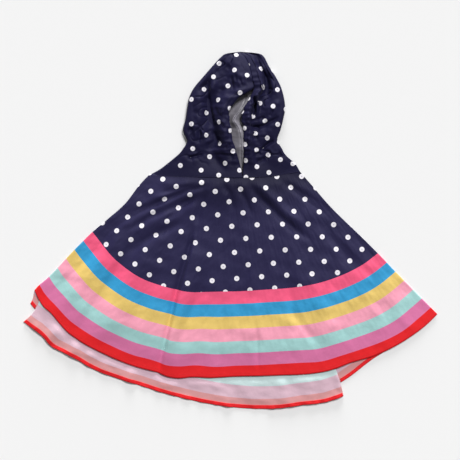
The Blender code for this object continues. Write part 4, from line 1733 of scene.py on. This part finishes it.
# ---- sewing --------------------------------------------------------------------------------------
def seam_path(points: Array, places: Array, lift: float) -> Array:
    """A line of sewing on a surface: for each column of a grid, the point at one place down it.

    Args:
        points: rows by columns by 3.
        places: for each column, a row number, which needn't be whole.
        lift: how far the line lies above the surface.

    Returns:
        Points along the line.
    """
    low = np.clip(np.floor(places).astype(int), 0, points.shape[0] - 2)
    share = (places - low)[:, None]
    column = np.arange(points.shape[1])
    line = points[low, column] * (1.0 - share) + points[low + 1, column] * share
    return line + np.array([0.0, 0.0, lift])


@dataclass
class StitchRow:
    """A row of lock stitches: short round-ended dashes of thread along a path on the cloth.

    Attributes:
        name: the piece's name.
        path: points of the path.
        pitch: from one stitch to the next.
        length: length of a stitch.
        first: share of the pitch before the first stitch.
        radius: radius of the thread.
        around: faces round a stitch.
        rings: where its rings lie, from -1 at one end to 1 at the other.
    """

    name: str
    path: Array
    pitch: float = 0.0032
    length: float = 0.0025
    first: float = 0.25
    radius: float = 0.00028
    around: int = 6
    rings: tuple[float, ...] = (-0.98, -0.7, 0.0, 0.7, 0.98)

    def ends(self) -> Array:
        """Where each stitch starts and ends: two grids of points, evenly spaced by arc length.

        Returns:
            2 by stitches by 3.
        """
        steps = np.linalg.norm(np.diff(self.path, axis=0), axis=1)
        run = np.concatenate([[0.0], np.cumsum(steps)])
        starts = (np.arange(int(run[-1] / self.pitch)) + self.first) * self.pitch
        places = np.stack([starts, starts + self.length])
        return pair(*(np.interp(places, run, line) for line in self.path.T))

    def build(self, finish: Material) -> Object:
        """Makes all the stitches as one mesh.

        Each stitch is a tube along its own chord of the path. Its rings have the radius times the
        root of one less the square of the place along it, so that both ends close round.

        Args:
            finish: the thread.

        Returns:
            The object.
        """
        start, end = self.ends()
        along = (end - start) / np.linalg.norm(end - start, axis=1, keepdims=True)
        sideways = np.cross(along, np.array([0.0, 0.0, 1.0]))
        sideways /= np.linalg.norm(sideways, axis=1, keepdims=True)
        axes = [axis[:, None, None, :] for axis in (along, sideways, np.cross(sideways, along))]
        place = np.array(self.rings)[None, :, None, None]
        turn = (math.tau * np.arange(self.around) / self.around)[None, None, :, None]
        wide = self.radius * np.sqrt(1.0 - place ** 2)
        points = (start + end)[:, None, None, :] / 2 + self.length / 2 * place * axes[0] + wide * (
            np.cos(turn) * axes[1] + np.sin(turn) * axes[2]
        )
        index = np.arange(points[..., 0].size).reshape(points.shape[:3])
        after = np.roll(index, -1, 2)
        quads = np.stack([index[:, :-1], after[:, :-1], after[:, 1:], index[:, 1:]], -1).reshape(-1, 4)
        caps = index[:, 0, ::-1].tolist() + index[:, -1].tolist()
        mesh = bpy.data.meshes.new(self.name)
        mesh.from_pydata(points.reshape(-1, 3).tolist(), [], quads.tolist() + caps)
        mesh.polygons.foreach_set("use_smooth", np.ones(len(mesh.polygons), bool))
        mesh.materials.append(finish)
        return add_object(self.name, mesh)


# ---- the studio ----------------------------------------------------------------------------------
@dataclass(frozen=True)
class Lamp:
    """A distant soft lamp.

    Attributes:
        name: its name.
        towards: the way towards it.
        strength: its strength.
        softness: how wide it looks, in degrees.
    """

    name: str
    towards: tuple[float, float, float]
    strength: float
    softness: float

    def light(self) -> None:
        """Adds the lamp, turned so that it shines from there."""
        lamp = bpy.data.lights.new(self.name, "SUN")
        lamp.energy, lamp.angle = self.strength, math.radians(self.softness)
        sun = add_object(self.name, lamp)
        sun.rotation_euler = (-Vector(self.towards)).to_track_quat("-Z", "Y").to_euler()


@dataclass
class Studio:
    """A plain pale floor, soft light and a camera that looks straight down.

    Attributes:
        lens: the camera's focal length, in millimetres.
        sensor: width of its picture, in millimetres.
        view_width: width of the floor across the picture.
        aim: the place that it looks at.
        floor_half: half the width of the floor.
        floor_depth: how far the floor lies below the cloth.
        paper: colour of the floor.
        sky: strength of the even light from all round.
        lamps: the lamps.
    """

    lens: float = 85.0
    sensor: float = 36.0
    view_width: float = 1.104
    aim: Point = (0.0, 0.0005)
    floor_half: float = 6.0
    floor_depth: float = 0.0005
    paper: str = "E7E7E7"
    sky: float = 0.22
    lamps: tuple[Lamp, ...] = (
        Lamp("high soft light", (0.32, 0.60, 0.90), 2.86, 18.0),
        Lamp("low soft light from beyond the hood", (0.00, 1.00, 0.14), 4.20, 24.0),
    )

    def floor(self) -> None:
        """A large flat floor of matt white paper."""
        half = self.floor_half
        corners = [(-half, -half, 0), (half, -half, 0), (half, half, 0), (-half, half, 0)]
        mesh = bpy.data.meshes.new("floor")
        mesh.from_pydata(corners, [], [(0, 1, 2, 3)])
        paper, _ = plain_material("matt white paper", {
            "Base Color": srgb(self.paper), "Roughness": 0.9, "Specular IOR Level": 0.2,
        })
        mesh.materials.append(paper)
        floor = add_object("floor", mesh)
        floor.location.z = -self.floor_depth

    def light(self) -> None:
        """An even sky, a high soft light and a low one that draws the folds."""
        world = bpy.data.worlds.new("even sky")
        world.use_nodes = True
        fill(world.node_tree.nodes["Background"], {"Color": srgb("FFFFFF"), "Strength": self.sky})
        bpy.context.scene.world = world
        for lamp in self.lamps:
            lamp.light()

    def camera(self) -> None:
        """A long lens straight above, so far up that the picture spans the view's width of floor."""
        data = bpy.data.cameras.new("camera")
        data.lens, data.sensor_width, data.clip_end = self.lens, self.sensor, 20.0
        camera = add_object("camera", data)
        camera.location = (*self.aim, self.view_width * self.lens / self.sensor)
        bpy.context.scene.camera = camera


def dress(piece: Object, slot: str, *nodes: str) -> Object:
    """Ties a piece to the part's one body and hides the solids that it stands for.

    Args:
        piece: the piece.
        slot: not used.
        nodes: the solids that it replaces.

    Returns:
        The piece.
    """
    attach(piece, "root")
    if nodes:
        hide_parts(*nodes)
    return piece


def panel_cloth(where: str, start: float, painted_neck_shade: str | None = None) -> list[Material]:
    """The two finishes of a panel's cloth.

    Args:
        where: the panel.
        start: radius on its cut where the first stripe starts.
        painted_neck_shade: a darker ground colour near the neck, painted shade, where there is one.

    Returns:
        Those of the printed face and of the coated one.
    """
    printed = PrintedCloth(
        Face.PRINTED, DotPrint(), StripePrint(start, PRINT_INKS),
        ground="262344", spot="DEDBE1", speck="ADAAB6", roughness=0.58, gloss=0.12, painted_neck_shade=painted_neck_shade,
    )
    coated = PrintedCloth(
        Face.COATED, DotPrint(), StripePrint(start, PRINT_SEEN_THROUGH),
        ground="77747F", spot="D9D7DC", speck="D0CED4", roughness=0.50, gloss=0.14,
    )
    return [printed.material(where), coated.material(where)]


def hood_cloth() -> list[Material]:
    """The two finishes of the hood's cloth, whose gathers draw its dots a little smaller.

    Its printed ground is painted darker than the panels' ground, as shade.

    Returns:
        Those of the printed face and of the coated one.
    """
    printed = PrintedCloth(
        # painted shade: ground 1B1936 is the panels' navy made darker over the whole hood
        Face.PRINTED, DotPrint(0.0057), None, ground="1B1936", spot="DEDBE1", speck="ADAAB6",
        # painted shade near the neck: a darker ground over these radii of the hood
        roughness=0.56, gloss=0.10, painted_neck_shade="171530", painted_shade_band=(0.150, 0.230),
    )
    coated = PrintedCloth(
        Face.COATED, DotPrint(), None, ground="7E7B83", spot="908D95", speck="908D95",
        roughness=0.40, gloss=0.40,
    )
    return [printed.material("hood"), coated.material("hood")]


def main() -> None:
    """Builds the poncho piece by piece, then the studio."""
    logging.basicConfig(level=logging.INFO, format="%(name)s %(message)s")
    bpy.context.scene.view_settings.view_transform = "Standard"
    navy = SewingThread("201D38").material("navy sewing thread")
    red = SewingThread("C4262B").material("red sewing thread")
    outline, layers = BodyOutline(), PleatLayers()
    front = FrontPanel(outline, layers)
    back = BackPanel(outline, layers, front.hem)
    hood_finishes = hood_cloth()
    for part, finishes, thread in (
        # the front's ground is painted darker near the neck, as shade
        (front, panel_cloth("front", FRONT_STRIPES, "17152E"), red),
        (back, panel_cloth("back", BACK_STRIPES), red),
        (HoodHalf(Side.LEFT, outline), hood_finishes, navy),
        (HoodHalf(Side.RIGHT, outline), hood_finishes, navy),
    ):
        for piece in part.build(finishes, thread):
            log.info("%s: %d faces", piece.name, len(piece.data.polygons))
    studio = Studio()
    studio.floor()
    studio.light()
    studio.camera()


if __name__ == "__main__":
    main()
